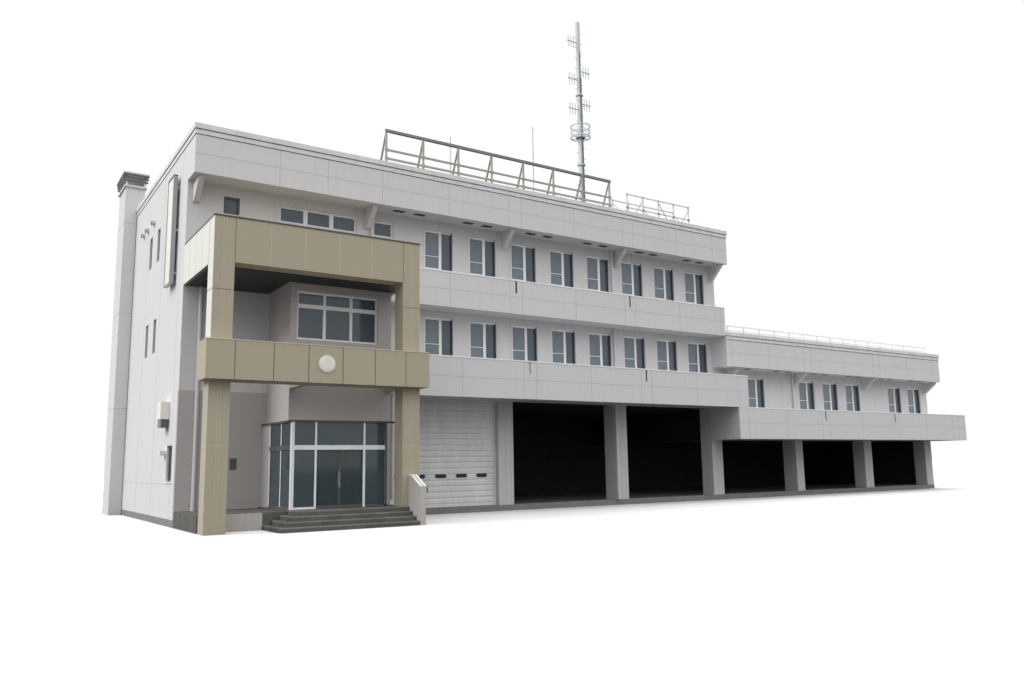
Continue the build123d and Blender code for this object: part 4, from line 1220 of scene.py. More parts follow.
@dataclass
class Portal:
    """Trims, joints, ceiling and cheeks of the entrance portal."""

    grid: Grid

    joint: float = 9 * MM
    skin: Span = (-1.5 * MM, 1.5 * MM)
    # Width of the columns' twin lines and the beam's lines, as shares of that.
    fine: float = 0.6
    broad: float = 1.4
    # Distance of a twin line from its column's middle, bottom of the twin lines, and height of
    # the canopy's edge over its joints.
    twin: float = 0.022
    foot: float = 0.02
    cap: float = 0.03

    column: float = 0.36

    canopy_joints: tuple[float, ...] = (-6.45, -5.81, -5.16, -4.52)
    beam_joints: tuple[float, ...] = (-7.075, -6.41, -5.785, -5.145, -4.51, -3.88)
    # Cheeks' facing: thickness, panels behind the column, distance of the brown line from the
    # column's back, and where the right one ends.
    cheek: float = 3 * MM
    cheek_panels: int = 4
    cheek_line: float = 0.02
    right_stop: float = 0.55

    low_course: float = 1.455
    high_course: float = 4.13
    # Ceiling boards: spacing, half a groove, thickness, plain border, and the width of the
    # entrance bay that they run up to.
    board: float = 0.095
    board_gap: float = 3 * MM
    board_depth: float = 0.012
    border: float = 0.05
    bay_width: float = 2.1

    trim_out: float = 0.01
    trim_width: float = 0.06
    trim_drop: float = 0.02
    trim_rise: float = 0.008

    ledge_out: float = 0.006
    ledge_back: float = 0.02
    ledge_drop: float = 0.01

    boss: float = 0.155
    boss_x: float = -5.449
    boss_z: float = 2.911
    domes: tuple[tuple[float, float, float], ...] = ((1.0, 0.0, 0.014), (0.88, 0.014, 0.02),
                                                     (0.66, 0.02, 0.025))

    def build(self) -> None:
        """Add every part of the portal's dress."""
        self.joints()
        self.cheeks()
        self.ceiling()
        self.trims()
        self.round_boss()

    def upright(self, shape: Shape, wall: Face, middle: float, level: Span,
                share: float = 1.0) -> None:
        """Add one upright line, its width given as a share of a joint line."""
        half = share * self.joint / 2
        shape.panel(wall, (middle - half, middle + half), self.skin, level)

    def joints(self) -> None:
        """Add the joint lines of the canopy, the beam and the columns."""
        low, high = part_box("portal_canopy")
        beam_low, beam_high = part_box("portal_beam")
        near, back = (corner.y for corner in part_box("portal_columns"))
        front, beam = face(Side.FRONT, low.y), face(Side.FRONT, beam_low.y)
        cheek = face(Side.LEFT, low.x - self.cheek)
        canopy = (low.z, high.z - self.cap)
        pale, brown = Shape(), Shape()
        for x in self.canopy_joints:
            self.upright(pale, front, x, canopy)
        for x in (low.x + self.column, high.x - self.column):
            self.upright(brown, front, x, canopy)
        for middle in (low.x + self.column / 2, high.x - self.column / 2):
            for x in (middle - self.twin, middle + self.twin):
                self.upright(pale, front, x, (self.foot, beam_low.z), self.fine)
                self.upright(pale, front, x, (beam_high.z, canopy[1]), self.fine)
        for x in self.beam_joints:
            self.upright(brown, beam, x, (beam_low.z, beam_high.z), self.broad)
        self.upright(brown, cheek, back - self.cheek_line, canopy)
        for i in range(1, self.cheek_panels):
            self.upright(pale, cheek, back + i * (high.y - back) / self.cheek_panels, canopy)
        for start, courses in ((self.low_course, pale), (self.high_course, brown)):
            level = (start, start + self.joint)
            courses.panel(front, (low.x, low.x + self.column), self.skin, level)
            courses.panel(front, (high.x - self.column, high.x), self.skin, level)
            courses.panel(cheek, (near, back), self.skin, level)
        pale.place("portal_pale_joints", PALE_SEALANT, "portal_panel")
        brown.place("portal_brown_joints", PORTAL_SEALANT, "portal_panel")

    def cheeks(self) -> None:
        """Add the cream facing of the outer cheeks, and below the beam a greyer, darker one as
        painted tree shadow.
        """
        low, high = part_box("portal_canopy")
        beam_low, beam_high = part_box("portal_beam")
        columns = tuple(corner.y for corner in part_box("portal_columns"))
        skin = (-self.cheek, 0.0)
        shape, feet = Shape(), Shape()
        for side, plane, stop in ((Side.LEFT, low.x, 0.0),
                                  (Side.RIGHT, high.x, self.right_stop)):
            outer = face(side, plane)
            shape.panel(outer, (low.y, high.y - stop), skin, (low.z, high.z))
            shape.panel(outer, columns, skin, (beam_high.z, low.z))
            # Below the beam the cheeks' facing is greyer and darker, painted tree shadow.
            feet.panel(outer, columns, skin, (0.0, beam_low.z))
        shape.place("portal_cream_cheeks", CHEEK, "portal_panel")
        feet.place("portal_low_cheeks_painted_shadow", CHEEK_PAINTED_SHADOW, "portal_panel")

    def ceiling(self) -> None:
        """Add the dark boards under the canopy, from its front edge to the wall."""
        low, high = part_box("portal_canopy")
        bay_low, bay_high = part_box("entrance_bay_walls")
        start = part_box("portal_columns")[1].y
        shape = Shape()
        for i in range(int((high.x - low.x - 2 * self.border) / self.board)):
            x = low.x + self.border + i * self.board
            inside = x + self.board > bay_high.x - self.bay_width and x < bay_high.x
            back = bay_low.y if inside else self.grid.front
            shape.block((x + self.board_gap, x + self.board - self.board_gap),
                        (start, back), (low.z - self.board_depth, low.z))
        shape.place("portal_ceiling_boards", CEILING, "portal_panel", edge=2 * MM)

    def trims(self) -> None:
        """Add the dark edge trims on the canopy and the pale ledge on the beam."""
        low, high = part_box("portal_canopy")
        beam_low, beam_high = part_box("portal_beam")
        left, right = low.x - self.trim_out, high.x + self.trim_out
        level = (high.z - self.trim_drop, high.z + self.trim_rise)
        shape, ledge = Shape(), Shape()
        shape.block((left, right), (low.y - self.trim_out, low.y + self.trim_width), level)
        shape.block((left, low.x + self.trim_width), (low.y, self.grid.front), level)
        shape.block((high.x - self.trim_width, right),
                    (low.y, self.grid.front - self.right_stop), level)
        shape.place("portal_edge_trims", DARK_TRIM, "portal_panel", edge=1 * MM)
        ledge.block((beam_low.x - self.ledge_out, beam_high.x + self.ledge_out),
                    (beam_low.y - self.ledge_out, low.y + self.ledge_back),
                    (beam_high.z - self.ledge_drop, beam_high.z + self.trim_rise))
        ledge.place("portal_beam_ledge", PALE_SEALANT, "portal_panel", edge=1 * MM)

    def round_boss(self) -> None:
        """Add the plain domed boss in the middle of the beam."""
        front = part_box("portal_beam")[0].y
        shape = Shape()
        for share, start, end in self.domes:
            shape.bar(Vector((self.boss_x, front - start, self.boss_z)),
                      Vector((self.boss_x, front - end, self.boss_z)), self.boss * share, 48)
        shape.place("portal_round_boss", WHITE_SHEET, "portal_panel", edge=2 * MM, smooth=True)


@dataclass
class Vestibule:
    """Glazed draught lobby with its hung sliding leaves."""

    grid: Grid

    left: float = -5.815
    right: float = -3.915
    eaves: float = 0.02

    doorway: Span = (-5.33, -4.405)
    transom: Span = (1.4, 1.485)
    panes_top: float = 1.91
    # Posts and rails, corner post, distance of the side's last post from the wall, and the
    # side's two panes.
    bar: float = 0.04
    post: float = 0.06
    back: float = 0.475
    side_panes: tuple[Span, ...] = ((-4.625, -4.115), (-4.075, -3.45))

    edge_out: float = 0.006
    edge_width: float = 0.05
    edge_drop: float = 0.03
    # Thickness of the dark covers on the side's rails and in front.
    side_cover: float = 4 * MM
    front_cover: float = 3 * MM

    sill_depth: Span = (0.01, 0.09)
    sill_level: Span = (-0.002, 0.004)

    gasket: float = 5 * MM
    gasket_depth: Span = (0.008, 0.014)

    stile: float = 0.02
    rail: float = 0.045
    tuck: float = 0.01

    hanger: float = 0.03
    hanger_depth: Span = (0.005, 0.021)
    hanger_lap: float = 2 * MM

    pane_depth: Span = (0.009, 0.017)
    pane_lip: float = 4 * MM

    pull: Span = (0.70, 1.0)
    pull_radius: float = 4 * MM
    stem_radius: float = 3 * MM
    stem_inset: float = 0.02

    def build(self) -> None:
        """Add the lobby's trims, its gaskets, its sill and both leaves."""
        self.trims()
        self.gaskets()
        self.leaf("door_leaf_left", Body.LEFT_LEAF, pull_right=True)
        self.leaf("door_leaf_right", Body.RIGHT_LEAF, pull_right=False)

    def trims(self) -> None:
        """Add the roof's dark edge, the dark rails of the side and the floor sill."""
        low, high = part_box("vestibule_frame")
        out, hall = self.edge_out, self.grid.hall
        level = (high.z - self.edge_drop, high.z + out)
        shape = Shape()
        shape.block((low.x - out, high.x), (low.y - out, low.y + self.edge_width), level)
        shape.block((low.x - out, low.x + self.edge_width), (low.y, self.grid.front), level)
        shape.place("vestibule_roof_edge", DARK_TRIM, "window_frame", edge=1 * MM)

        front = low.y + self.eaves
        side, street = face(Side.LEFT, self.left), face(Side.FRONT, front)
        low_rail = (hall, hall + self.bar)
        covers = Shape()
        for level in (self.transom, low_rail):
            covers.panel(side, (front + self.post, self.grid.front - self.back),
                         (-self.side_cover, 0.0), level)
        skin = (-self.front_cover, 0.0)
        covers.panel(street, (self.right - self.bar, self.right), skin,
                     (hall, self.panes_top))
        covers.panel(street, (self.doorway[1] + self.bar, self.right), skin, low_rail)
        covers.panel(street, self.doorway, self.sill_depth,
                     (hall + self.sill_level[0], hall + self.sill_level[1]))
        covers.place("vestibule_dark_covers", WINDOW_DARK, "window_frame", edge=1 * MM)

    def gaskets(self) -> None:
        """Add the rubber round the fixed panes."""
        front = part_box("vestibule_frame")[0].y + self.eaves
        side, street = face(Side.LEFT, self.left), face(Side.FRONT, front)
        low = (self.grid.hall + self.bar, self.transom[0])
        high = (self.transom[1], self.panes_top)
        lights = [(street, self.doorway, high)]
        for along in ((self.left + self.post, self.doorway[0] - self.bar),
                      (self.doorway[1] + self.bar, self.right - self.bar)):
            lights += [(street, along, low), (street, along, high)]
        for along in self.side_panes:
            lights += [(side, along, low), (side, along, high)]
        shape = Shape()
        for wall, along, level in lights:
            shape.ring(wall, along, self.gasket_depth, level, self.gasket)
        shape.place("vestibule_gaskets", RUBBER_AND_SHADE, "window_frame")

    def leaf(self, node: str, body: Body, pull_right: bool) -> None:
        """Add one sliding leaf: thin stiles, a kick rail, the pane and a pull.

        Args:
            node: Node of the solid leaf, which the frame replaces.
            body: Body that the leaf rides on.
            pull_right: True if the pull is at the leaf's right stile.
        """
        low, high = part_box(node)
        top = self.transom[0] + self.tuck
        street = face(Side.FRONT, low.y)
        depth = (0.0, high.y - low.y)
        left, right = low.x + self.stile, high.x - self.stile
        stiles = Shape()
        stiles.panel(street, (low.x, left), depth, (low.z, top))
        stiles.panel(street, (right, high.x), depth, (low.z, top))
        stiles.panel(street, (left, right), depth, (low.z, low.z + self.rail))
        stiles.panel(street, (left, right), depth, (top - self.stile, top))
        quarter = (high.x - low.x) / 4
        for x in (low.x + quarter, high.x - quarter):
            stiles.panel(street, (x - self.hanger / 2, x + self.hanger / 2),
                         self.hanger_depth, (top - self.hanger_lap, high.z))
        stiles.place(f"{node}_stiles", WINDOW_DARK, "window_frame", body,
                     stands_for=[node], edge=1 * MM)
        pane, lip = Shape(), self.pane_lip
        pane.panel(street, (left - lip, right + lip), self.pane_depth,
                   (low.z + self.rail - lip, top - self.stile + lip))
        pane.place(f"{node}_pane", PANE_DOOR, "window_glass", body)

        x = high.x - self.stile / 2 if pull_right else low.x + self.stile / 2
        y = low.y - self.pull_radius
        foot, head = self.pull
        pull = Shape()
        pull.bar(Vector((x, y, foot)), Vector((x, y, head)), self.pull_radius, 10)
        for z in (foot + self.stem_inset, head - self.stem_inset):
            pull.bar(Vector((x, y, z)), Vector((x, low.y + self.pull_radius, z)),
                     self.stem_radius, 8)
        pull.place(f"{node}_pull", ZINC, "window_frame", body, smooth=True)


@dataclass
class Shutter:
    """Roller shutter: interlocking slats, side guides, bottom bar, vents and box."""

    grid: Grid

    depth: float = 0.17
    top: float = 2.53
    # Height of a slat, how far it bulges, and its outline as shares of both.
    pitch: float = 0.133
    swell: float = 0.012
    profile: tuple[Span, ...] = ((0.0, 0.0), (0.10, 1.0), (0.5, 1.25), (0.86, 1.0),
                                 (0.93, 0.0))
    # Groove over a slat: where it starts, as a share of the slat, thickness of the sheet
    # behind, and its depth.
    groove: float = 0.9
    back: float = 0.012
    back_depth: float = 0.002

    foot: float = 0.07
    foot_depth: Span = (-0.008, 0.028)
    guide: float = 0.05
    guide_depth: Span = (-0.03, -0.004)
    box_depth: Span = (0.1, 0.4)
    box: float = 0.245

    vent_width: float = 0.31
    vent_height: float = 0.105
    vent_level: float = 0.838
    vent_pitch: float = 0.545
    vent_first: float = -2.775
    vents: int = 5
    # A vent's rim and its mouth, black as painted shade inside: size share, stand and
    # thickness.
    vent_rim: tuple[float, float, float] = (1.0, 0.004, 0.014)
    vent_mouth: tuple[float, float, float] = (0.86, 0.007, 0.012)

    lock: Span = (-2.04, -2.02)
    lock_level: Span = (0.49, 0.6)
    lock_out: float = 0.03

    def build(self) -> None:
        """Add the curtain and its fittings."""
        low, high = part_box("roller_shutter")
        sheet = self.grid.front + self.depth
        curtain = Shape()
        level = low.z + self.foot
        while level < self.top - 0.01:
            self.slat(curtain, (low.x, high.x), sheet,
                      (level, min(level + self.pitch, self.top)))
            level += self.pitch
        curtain.place("shutter_slats", SHUTTER, "shutter_steel", stands_for=["roller_shutter"])

        trims = Shape()
        trims.block((low.x, high.x), (sheet + self.foot_depth[0], sheet + self.foot_depth[1]),
                    (low.z, low.z + self.foot))
        for start, end in ((low.x, low.x + self.guide), (high.x - self.guide, high.x)):
            trims.block((start, end),
                        (sheet + self.guide_depth[0], sheet + self.guide_depth[1]),
                        (low.z, self.top))
        front = self.grid.front
        trims.block((low.x, high.x), (front + self.box_depth[0], front + self.box_depth[1]),
                    (self.top, self.top + self.box))
        trims.place("shutter_guides_and_box", SHUTTER, "shutter_steel", edge=2 * MM)

        mouths, rims = Shape(), Shape()
        for i in range(self.vents):
            x = self.vent_first + i * self.vent_pitch
            for shape, (share, stand, depth) in ((rims, self.vent_rim),
                                                 (mouths, self.vent_mouth)):
                self.oval(shape, x, sheet - self.swell - stand, share, depth)
        rims.place("shutter_vent_rims", SHUTTER, "shutter_steel", edge=1 * MM, smooth=True)
        # Each vent's mouth is a black oval, painted shade inside the opening.
        mouths.place("shutter_vent_openings_painted_shade", RUBBER_AND_SHADE, "shutter_steel", smooth=True)
        plate = Shape()
        plate.block(self.lock, (sheet - self.lock_out, sheet), self.lock_level)
        plate.place("shutter_lock_plate", WINDOW_DARK, "shutter_steel", edge=2 * MM)

    def slat(self, shape: Shape, along: Span, y: float, level: Span) -> None:
        """Add one bulging slat with the groove above it.

        Args:
            shape: Mesh that receives the slat.
            along: Left and right end of the slat.
            y: Face of the curtain.
            level: Bottom and top of the slat.
        """
        start, end = along
        foot, height = level[0], level[1] - level[0]
        outline = [Vector((start, y - self.swell * out, foot + share * height))
                   for share, out in self.profile]
        outline += [Vector((start, y + self.back, foot + self.profile[-1][0] * height)),
                    Vector((start, y + self.back, foot))]
        shape.sweep(outline, Vector((end - start, 0, 0)))
        shape.block(along, (y + self.back_depth, y + self.back),
                    (foot + self.groove * height, level[1]))

    def oval(self, shape: Shape, x: float, y: float, share: float, depth: float) -> None:
        """Add one flat oval with round ends.

        Args:
            shape: Mesh that receives the oval.
            x: Middle of the oval.
            y: Front face of the oval.
            share: Height of the oval, as a share of a vent's.
            depth: Thickness of the oval.
        """
        radius = self.vent_height / 2 * share
        reach = (self.vent_width - self.vent_height) / 2
        steps = 12
        outline = []
        for end, start in ((1, -0.5), (-1, 0.5)):
            for i in range(steps + 1):
                angle = math.pi * (start + i / steps)
                outline.append(Vector((x + end * reach + radius * math.cos(angle), y,
                                       self.vent_level + radius * math.sin(angle))))
        shape.sweep(outline, Vector((0, depth, 0)))


@dataclass
class Steps:
    """Sawn nosings on the entrance steps and trims on their side wall."""

    grid: Grid

    count: int = 4
    going: float = 0.15
    landing_left: float = -5.865
    landing_front: float = -5.285

    plinth: float = 1.8
    plinth_top: float = 0.3
    plinth_ends: Span = (0.02, 0.46)
    facing: float = 4 * MM

    nosing: float = 0.03
    nosing_height: float = 0.022
    nosing_out: float = 3 * MM

    strip: float = 0.025
    strip_out: float = 5 * MM
    strip_front: float = 4 * MM
    strip_height: float = 0.024
    # Bottom of the strips at the wall's low and high end, and length of its level end.
    wall_foot: float = 0.69
    wall_head: float = 0.895
    wall_level: float = 0.12

    def build(self) -> None:
        """Add the nosings, the side wall's edge strips and the plinth's facing."""
        hall, out = self.grid.hall, self.nosing_out
        low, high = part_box("steps_side_wall")
        plinth_front = self.grid.front - self.plinth
        strips = Shape()
        for k in range(self.count):
            x = self.landing_left - k * self.going
            y = self.landing_front - k * self.going
            z = hall - k * hall / self.count
            level = (z - self.nosing_height, z + out)
            strips.block((x, low.x), (y - out, y + self.nosing), level)
            strips.block((x - out, x + self.nosing), (y, plinth_front), level)
        strips.place("step_nosings", NOSING, "stone_paving", edge=1.5 * MM)

        front, bend = low.y - self.strip_front, high.y - self.wall_level
        foot, head, rise = self.wall_foot, self.wall_head, self.strip_height
        cap = Shape()
        for x in (low.x - self.strip_out, high.x + self.strip_out - self.strip):
            cap.sweep([Vector((x, y, z)) for y, z in (
                (front, foot), (front, foot + rise), (bend, head + rise),
                (high.y, head + rise), (high.y, head), (bend, head))],
                Vector((self.strip, 0, 0)))
        cap.place("side_wall_edge_strips", WINDOW_WHITE, "white_coping", edge=1 * MM)

        facing = Shape()
        facing.panel(face(Side.FRONT, plinth_front),
                     (self.grid.left + self.plinth_ends[0],
                      self.landing_left - self.plinth_ends[1]),
                     (-self.facing, 0.0), (0.0, self.plinth_top))
        facing.place("plinth_facing", CAST_STONE, "stone_paving", edge=1 * MM)


@dataclass
class Pipes:
    """Sockets and holderbats of the rainwater pipes."""

    grid: Grid

    radius: float = 0.037
    pitch: float = 0.9

    clip: float = 0.024
    clip_out: float = 4 * MM
    plate: float = 0.02
    plate_depth: float = 6 * MM
    end: float = 0.15

    socket: float = 0.05
    socket_out: float = 6 * MM
    # Front pipes by column line, offset, foot and head, and the one beside the left corner.
    runs: tuple[tuple[int, float, float, float], ...] = (
        (-1, 0.1, 5.445, 6.755), (1, -0.14, 5.445, 6.755), (1, -0.14, 3.43, 4.625),
        (1, -0.17, 0.14, 2.575), (3, -0.11, 2.55, 3.755), (3, -0.17, 0.14, 1.675))
    corner: tuple[float, float, float] = (0.33, 0.3, 4.625)
    # Pipe at the entrance bay's right corner, levels of its holderbats, and length and half
    # width of their plates.
    bay_pipe: Span = (-3.565, -4.185)
    bay_clips: tuple[float, ...] = (0.7, 1.3, 1.9)
    bay_plate: Span = (0.075, 0.01)

    def ring(self, shape: Shape, x: float, y: float, foot: float, height: float,
             out: float) -> None:
        """Add one sleeve round a pipe, from its foot up."""
        shape.bar(Vector((x, y, foot)), Vector((x, y, foot + height)), self.radius + out, 24)

    def build(self) -> None:
        """Add the clips and the sockets."""
        front, half = self.grid.front, self.clip / 2
        y = front - self.radius
        pipes = [(line * self.grid.bay + shift, foot, head)
                 for line, shift, foot, head in self.runs]
        offset, foot, head = self.corner
        pipes.append((self.grid.left + offset, foot, head))
        clips = Shape()
        for x, foot, head in pipes:
            gaps = max(1, round((head - foot) / self.pitch))
            for i in range(gaps + 1):
                z = foot + self.end + i * (head - foot - 2 * self.end) / gaps
                self.ring(clips, x, y, z - half, self.clip, self.clip_out)
                reach = self.radius + self.plate
                clips.block((x - reach, x + reach), (front - self.plate_depth, front),
                            (z - half, z + half))
            self.ring(clips, x, y, foot, self.socket, self.socket_out)
        x, y = self.bay_pipe
        length, width = self.bay_plate
        for z in self.bay_clips:
            self.ring(clips, x, y, z - half, self.clip, self.clip_out)
            clips.block((x - length, x), (y - width, y + width), (z - half, z + half))
        clips.place("pipe_clips_and_sockets", PIPE, "pipe_paint", smooth=True)


@dataclass
class RoofSteel:
    """Plates, couplers, braces and climbing pegs of the steelwork on the roofs."""

    grid: Grid

    bolt_head: float = 8 * MM

    sign_gaps: int = 7
    sign_bar: float = 0.04
    sign_rails: Span = (0.64, 0.84)
    # Gusset plates: half width, height below and above the rail, thickness, and distance of
    # the bolts from the post and below the rail.
    gusset: tuple[float, float, float] = (0.045, 0.045, 0.03)
    gusset_depth: float = 6 * MM
    gusset_bolts: Span = (0.03, 0.01)

    foot: tuple[float, float, float] = (0.06, 0.05, 0.01)

    rail_out: float = 4 * MM
    rail_size: tuple[float, float, float] = (-0.01, 0.046, 0.06)
    # Mast: distance from line one and from the front, height of its foot, and radii at its
    # foot and head.
    mast_offset: Span = (-0.255, 1.0)
    mast_base: float = 0.12
    mast_radii: Span = (0.09, 0.064)

    flange_pitch: float = 2.1
    flanges: int = 3
    flange_out: float = 0.035
    flange_levels: Span = (0.0, 0.018)
    flange: float = 0.016

    flange_bolts: int = 8
    bolt_inset: float = 0.015

    peg_start: float = 0.4
    peg_end: float = 0.3
    peg_pitch: float = 0.16
    peg: Span = (0.007, 0.085)

    ring_level: float = 10.29
    guard: tuple[float, float, float] = (0.01, 0.17, 0.325)

    guard_radius: float = 0.278
    guard_bars: int = 24
    guard_bar: float = 4 * MM
    hoop: float = 0.012

    collar: tuple[float, float, float] = (-0.025, 0.035, 0.05)
    # Offset, head and radius of each conduit, and distance of their feet from the mast's
    # middle.
    conduits: tuple[tuple[float, float, float], ...] = ((-0.02, 12.9, 0.010),
                                                        (0.02, 12.1, 0.008))
    conduit_back: float = 0.1

    pipe: float = 0.015
    pipe_gaps: int = 4
    pipe_rail: float = 0.96

    coupler: Span = (0.028, 0.026)
    coupler_bolt: float = 0.01
    pipe_foot: Span = (0.02, 0.05)
    # Gaps with a diagonal brace and whether it falls, and how far braces end above the roof
    # and below the top.
    braces: tuple[tuple[int, bool], ...] = ((0, False), (2, True), (3, False))
    brace_levels: Span = (0.42, 0.1)
    # Low end of the end braces, and radius and stand of a brace.
    brace_start: float = 0.6
    brace: Span = (0.010, 0.02)

    rail_gaps: int = 15
    rail_tube: float = 0.012
    rail_middle: float = 0.61
    # Half length and radius of a rail's socket, and half width and thickness of a post's
    # plate.
    socket: Span = (0.025, 0.017)
    rail_foot: Span = (0.035, 0.008)

    def build(self) -> None:
        """Add the details of the sign frame, the mast, the pipe frame and the rail."""
        self.sign_frame()
        self.mast()
        self.pipe_frame()
        self.handrail()

    def bolt(self, shape: Shape, centre: Vector, direction: Vector, radius: float) -> None:
        """Add one hexagon bolt head, whose height is seven tenths of its radius."""
        shape.bar(centre, centre + direction * radius * 0.7, radius, 6)

    def sign_frame(self) -> None:
        """Add gussets at the sign frame's rails and base plates at its feet."""
        low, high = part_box("roof_sign_frame")
        half, roof = self.sign_bar / 2, self.grid.roof
        pitch = (high.x - low.x - self.sign_bar) / self.sign_gaps
        width, below, above = self.gusset
        side, drop = self.gusset_bolts
        plates = Shape()
        for i in range(self.sign_gaps + 1):
            x = low.x + half + i * pitch
            for level in (*(roof + rail for rail in self.sign_rails), high.z - 0.03):
                plates.block((x - width, x + width), (low.y - self.gusset_depth, low.y),
                             (level - below, level + above))
                for dx in (-side, side):
                    spot = Vector((x + dx, low.y - self.gusset_depth, level - drop))
                    self.bolt(plates, spot, STREETWARD, self.bolt_head)
            for y in (low.y + half, high.y - half):
                plates.block((x - self.foot[0], x + self.foot[0]),
                             (y - self.foot[1], y + self.foot[1]),
                             (roof, roof + self.foot[2]))
        plates.place("sign_frame_plates", SIGN_STEEL, "galvanised_steel")
        rail = Shape()
        front, back, height = self.rail_size
        rail.block((low.x - self.rail_out, high.x + self.rail_out),
                   (low.y + front, low.y + back), (high.z - height, high.z + self.rail_out))
        rail.place("sign_frame_top_rail", TOP_RAIL, "galvanised_steel", edge=2 * MM)

    def mast(self) -> None:
        """Add flange joints, pegs, a guard, a collar and conduits to the mast."""
        x = self.grid.bay + self.mast_offset[0]
        y = self.grid.front + self.mast_offset[1]
        foot, head = self.grid.roof + self.mast_base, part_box("radio_mast")[1].z
        wide, slim = self.mast_radii

        def axis(z: float) -> Vector:
            """Return the mast's middle at a level."""
            return Vector((x, y, z))

        def skin(z: float) -> float:
            """Return the mast's radius at a level."""
            return wide + (slim - wide) * (z - foot) / (head - foot)

        def around(count: int, radius: float, z: float) -> list[Vector]:
            """Return evenly spaced points round the mast."""
            turn = 2 * math.pi / count
            return [Vector((x + radius * math.cos(i * turn), y + radius * math.sin(i * turn),
                            z)) for i in range(count)]

        steel, guard, dark = Shape(), Shape(), Shape()
        for z in [foot + i * self.flange_pitch for i in range(self.flanges)]:
            radius = skin(z) + self.flange_out
            for start in self.flange_levels:
                steel.bar(axis(z + start), axis(z + start + self.flange), radius, 32)
            top = z + self.flange_levels[1] + self.flange
            for spot in around(self.flange_bolts, radius - self.bolt_inset, top):
                self.bolt(steel, spot, UPWARD, self.bolt_head)
        level, turn = foot + self.peg_start, 1
        while level < head - self.peg_end:
            reach = Vector((turn * (skin(level) + self.peg[1]), 0, 0))
            steel.bar(axis(level), axis(level) + reach, self.peg[0], 8)
            level, turn = level + self.peg_pitch, -turn
        low, middle, high = (self.ring_level + height for height in self.guard)
        for spot in around(self.guard_bars, self.guard_radius, low):
            guard.bar(spot, spot + Vector((0, 0, high - low)), self.guard_bar, 6)
        guard.hoop(axis(middle), self.guard_radius, self.hoop)
        steel.place("mast_flanges_and_pegs", MAST, "galvanised_steel", smooth=True)
        guard.place("mast_guard_bars", MAST, "galvanised_steel", smooth=True)

        bottom, top, out = self.collar
        dark.bar(axis(self.ring_level + bottom), axis(self.ring_level + top),
                 skin(self.ring_level) + out, 32)
        back = y - self.conduit_back
        for shift, end, radius in self.conduits:
            # A conduit leans in by its own offset, as the mast tapers.
            dark.bar(Vector((x + shift, back, self.grid.roof)),
                     Vector((x + shift, back + abs(shift), end)), radius, 10)
        dark.place("mast_conduits", WINDOW_DARK, "galvanised_steel", smooth=True)

    def pipe_frame(self) -> None:
        """Add couplers, feet and blue diagonal braces to the pipe frame."""
        low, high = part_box("roof_pipe_frame")
        half, roof = self.pipe, self.grid.roof
        pitch = (high.x - low.x - 2 * half) / self.pipe_gaps
        rows = (low.y + half, high.y - half)
        width, depth = self.coupler
        lower, upper = roof + self.brace_levels[0], high.z - self.brace_levels[1]
        radius, stand = self.brace
        clamps, feet, braces = Shape(), Shape(), Shape()
        for y in rows:
            for i in range(self.pipe_gaps + 1):
                x = low.x + half + i * pitch
                for z, shape in ((roof + self.pipe_rail, clamps), (high.z - half, feet)):
                    shape.block((x - width, x + width), (y - depth, y + depth),
                                (z - width, z + width))
                    self.bolt(shape, Vector((x, y - depth, z)), STREETWARD, self.coupler_bolt)
                feet.bar(Vector((x, y, roof)), Vector((x, y, roof + self.pipe_foot[0])),
                         self.pipe_foot[1], 16)
            for i, falls in self.braces:
                x = low.x + half + i * pitch
                start, end = (upper, lower) if falls else (lower, upper)
                braces.bar(Vector((x, y - stand, start)),
                           Vector((x + pitch, y - stand, end)), radius, 10)
        for x in (low.x + half, high.x - half):
            braces.bar(Vector((x, rows[0], roof + self.brace_start)),
                       Vector((x, rows[1], upper)), radius, 10)
        clamps.place("pipe_frame_couplers", BRACE, "galvanised_steel", edge=2 * MM)
        feet.place("pipe_frame_top_couplers_and_feet", ZINC, "galvanised_steel", edge=2 * MM)
        braces.place("pipe_frame_braces", BRACE, "galvanised_steel", smooth=True)

    def handrail(self) -> None:
        """Add sockets and base plates to the wing's handrail."""
        low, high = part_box("wing_handrail")
        half = self.rail_tube
        pitch = (high.x - low.x - 2 * half) / self.rail_gaps
        y = (low.y + high.y) / 2
        length, radius = self.socket
        plate, height = self.rail_foot
        shape = Shape()
        for i in range(self.rail_gaps + 1):
            x = low.x + half + i * pitch
            for z in (low.z + self.rail_middle, high.z - half):
                shape.bar(Vector((x - length, y, z)), Vector((x + length, y, z)), radius, 12)
            shape.block((x - plate, x + plate), (y - plate, y + plate),
                        (low.z, low.z + height))
        shape.place("handrail_sockets", WINDOW_WHITE, "galvanised_steel", smooth=True)


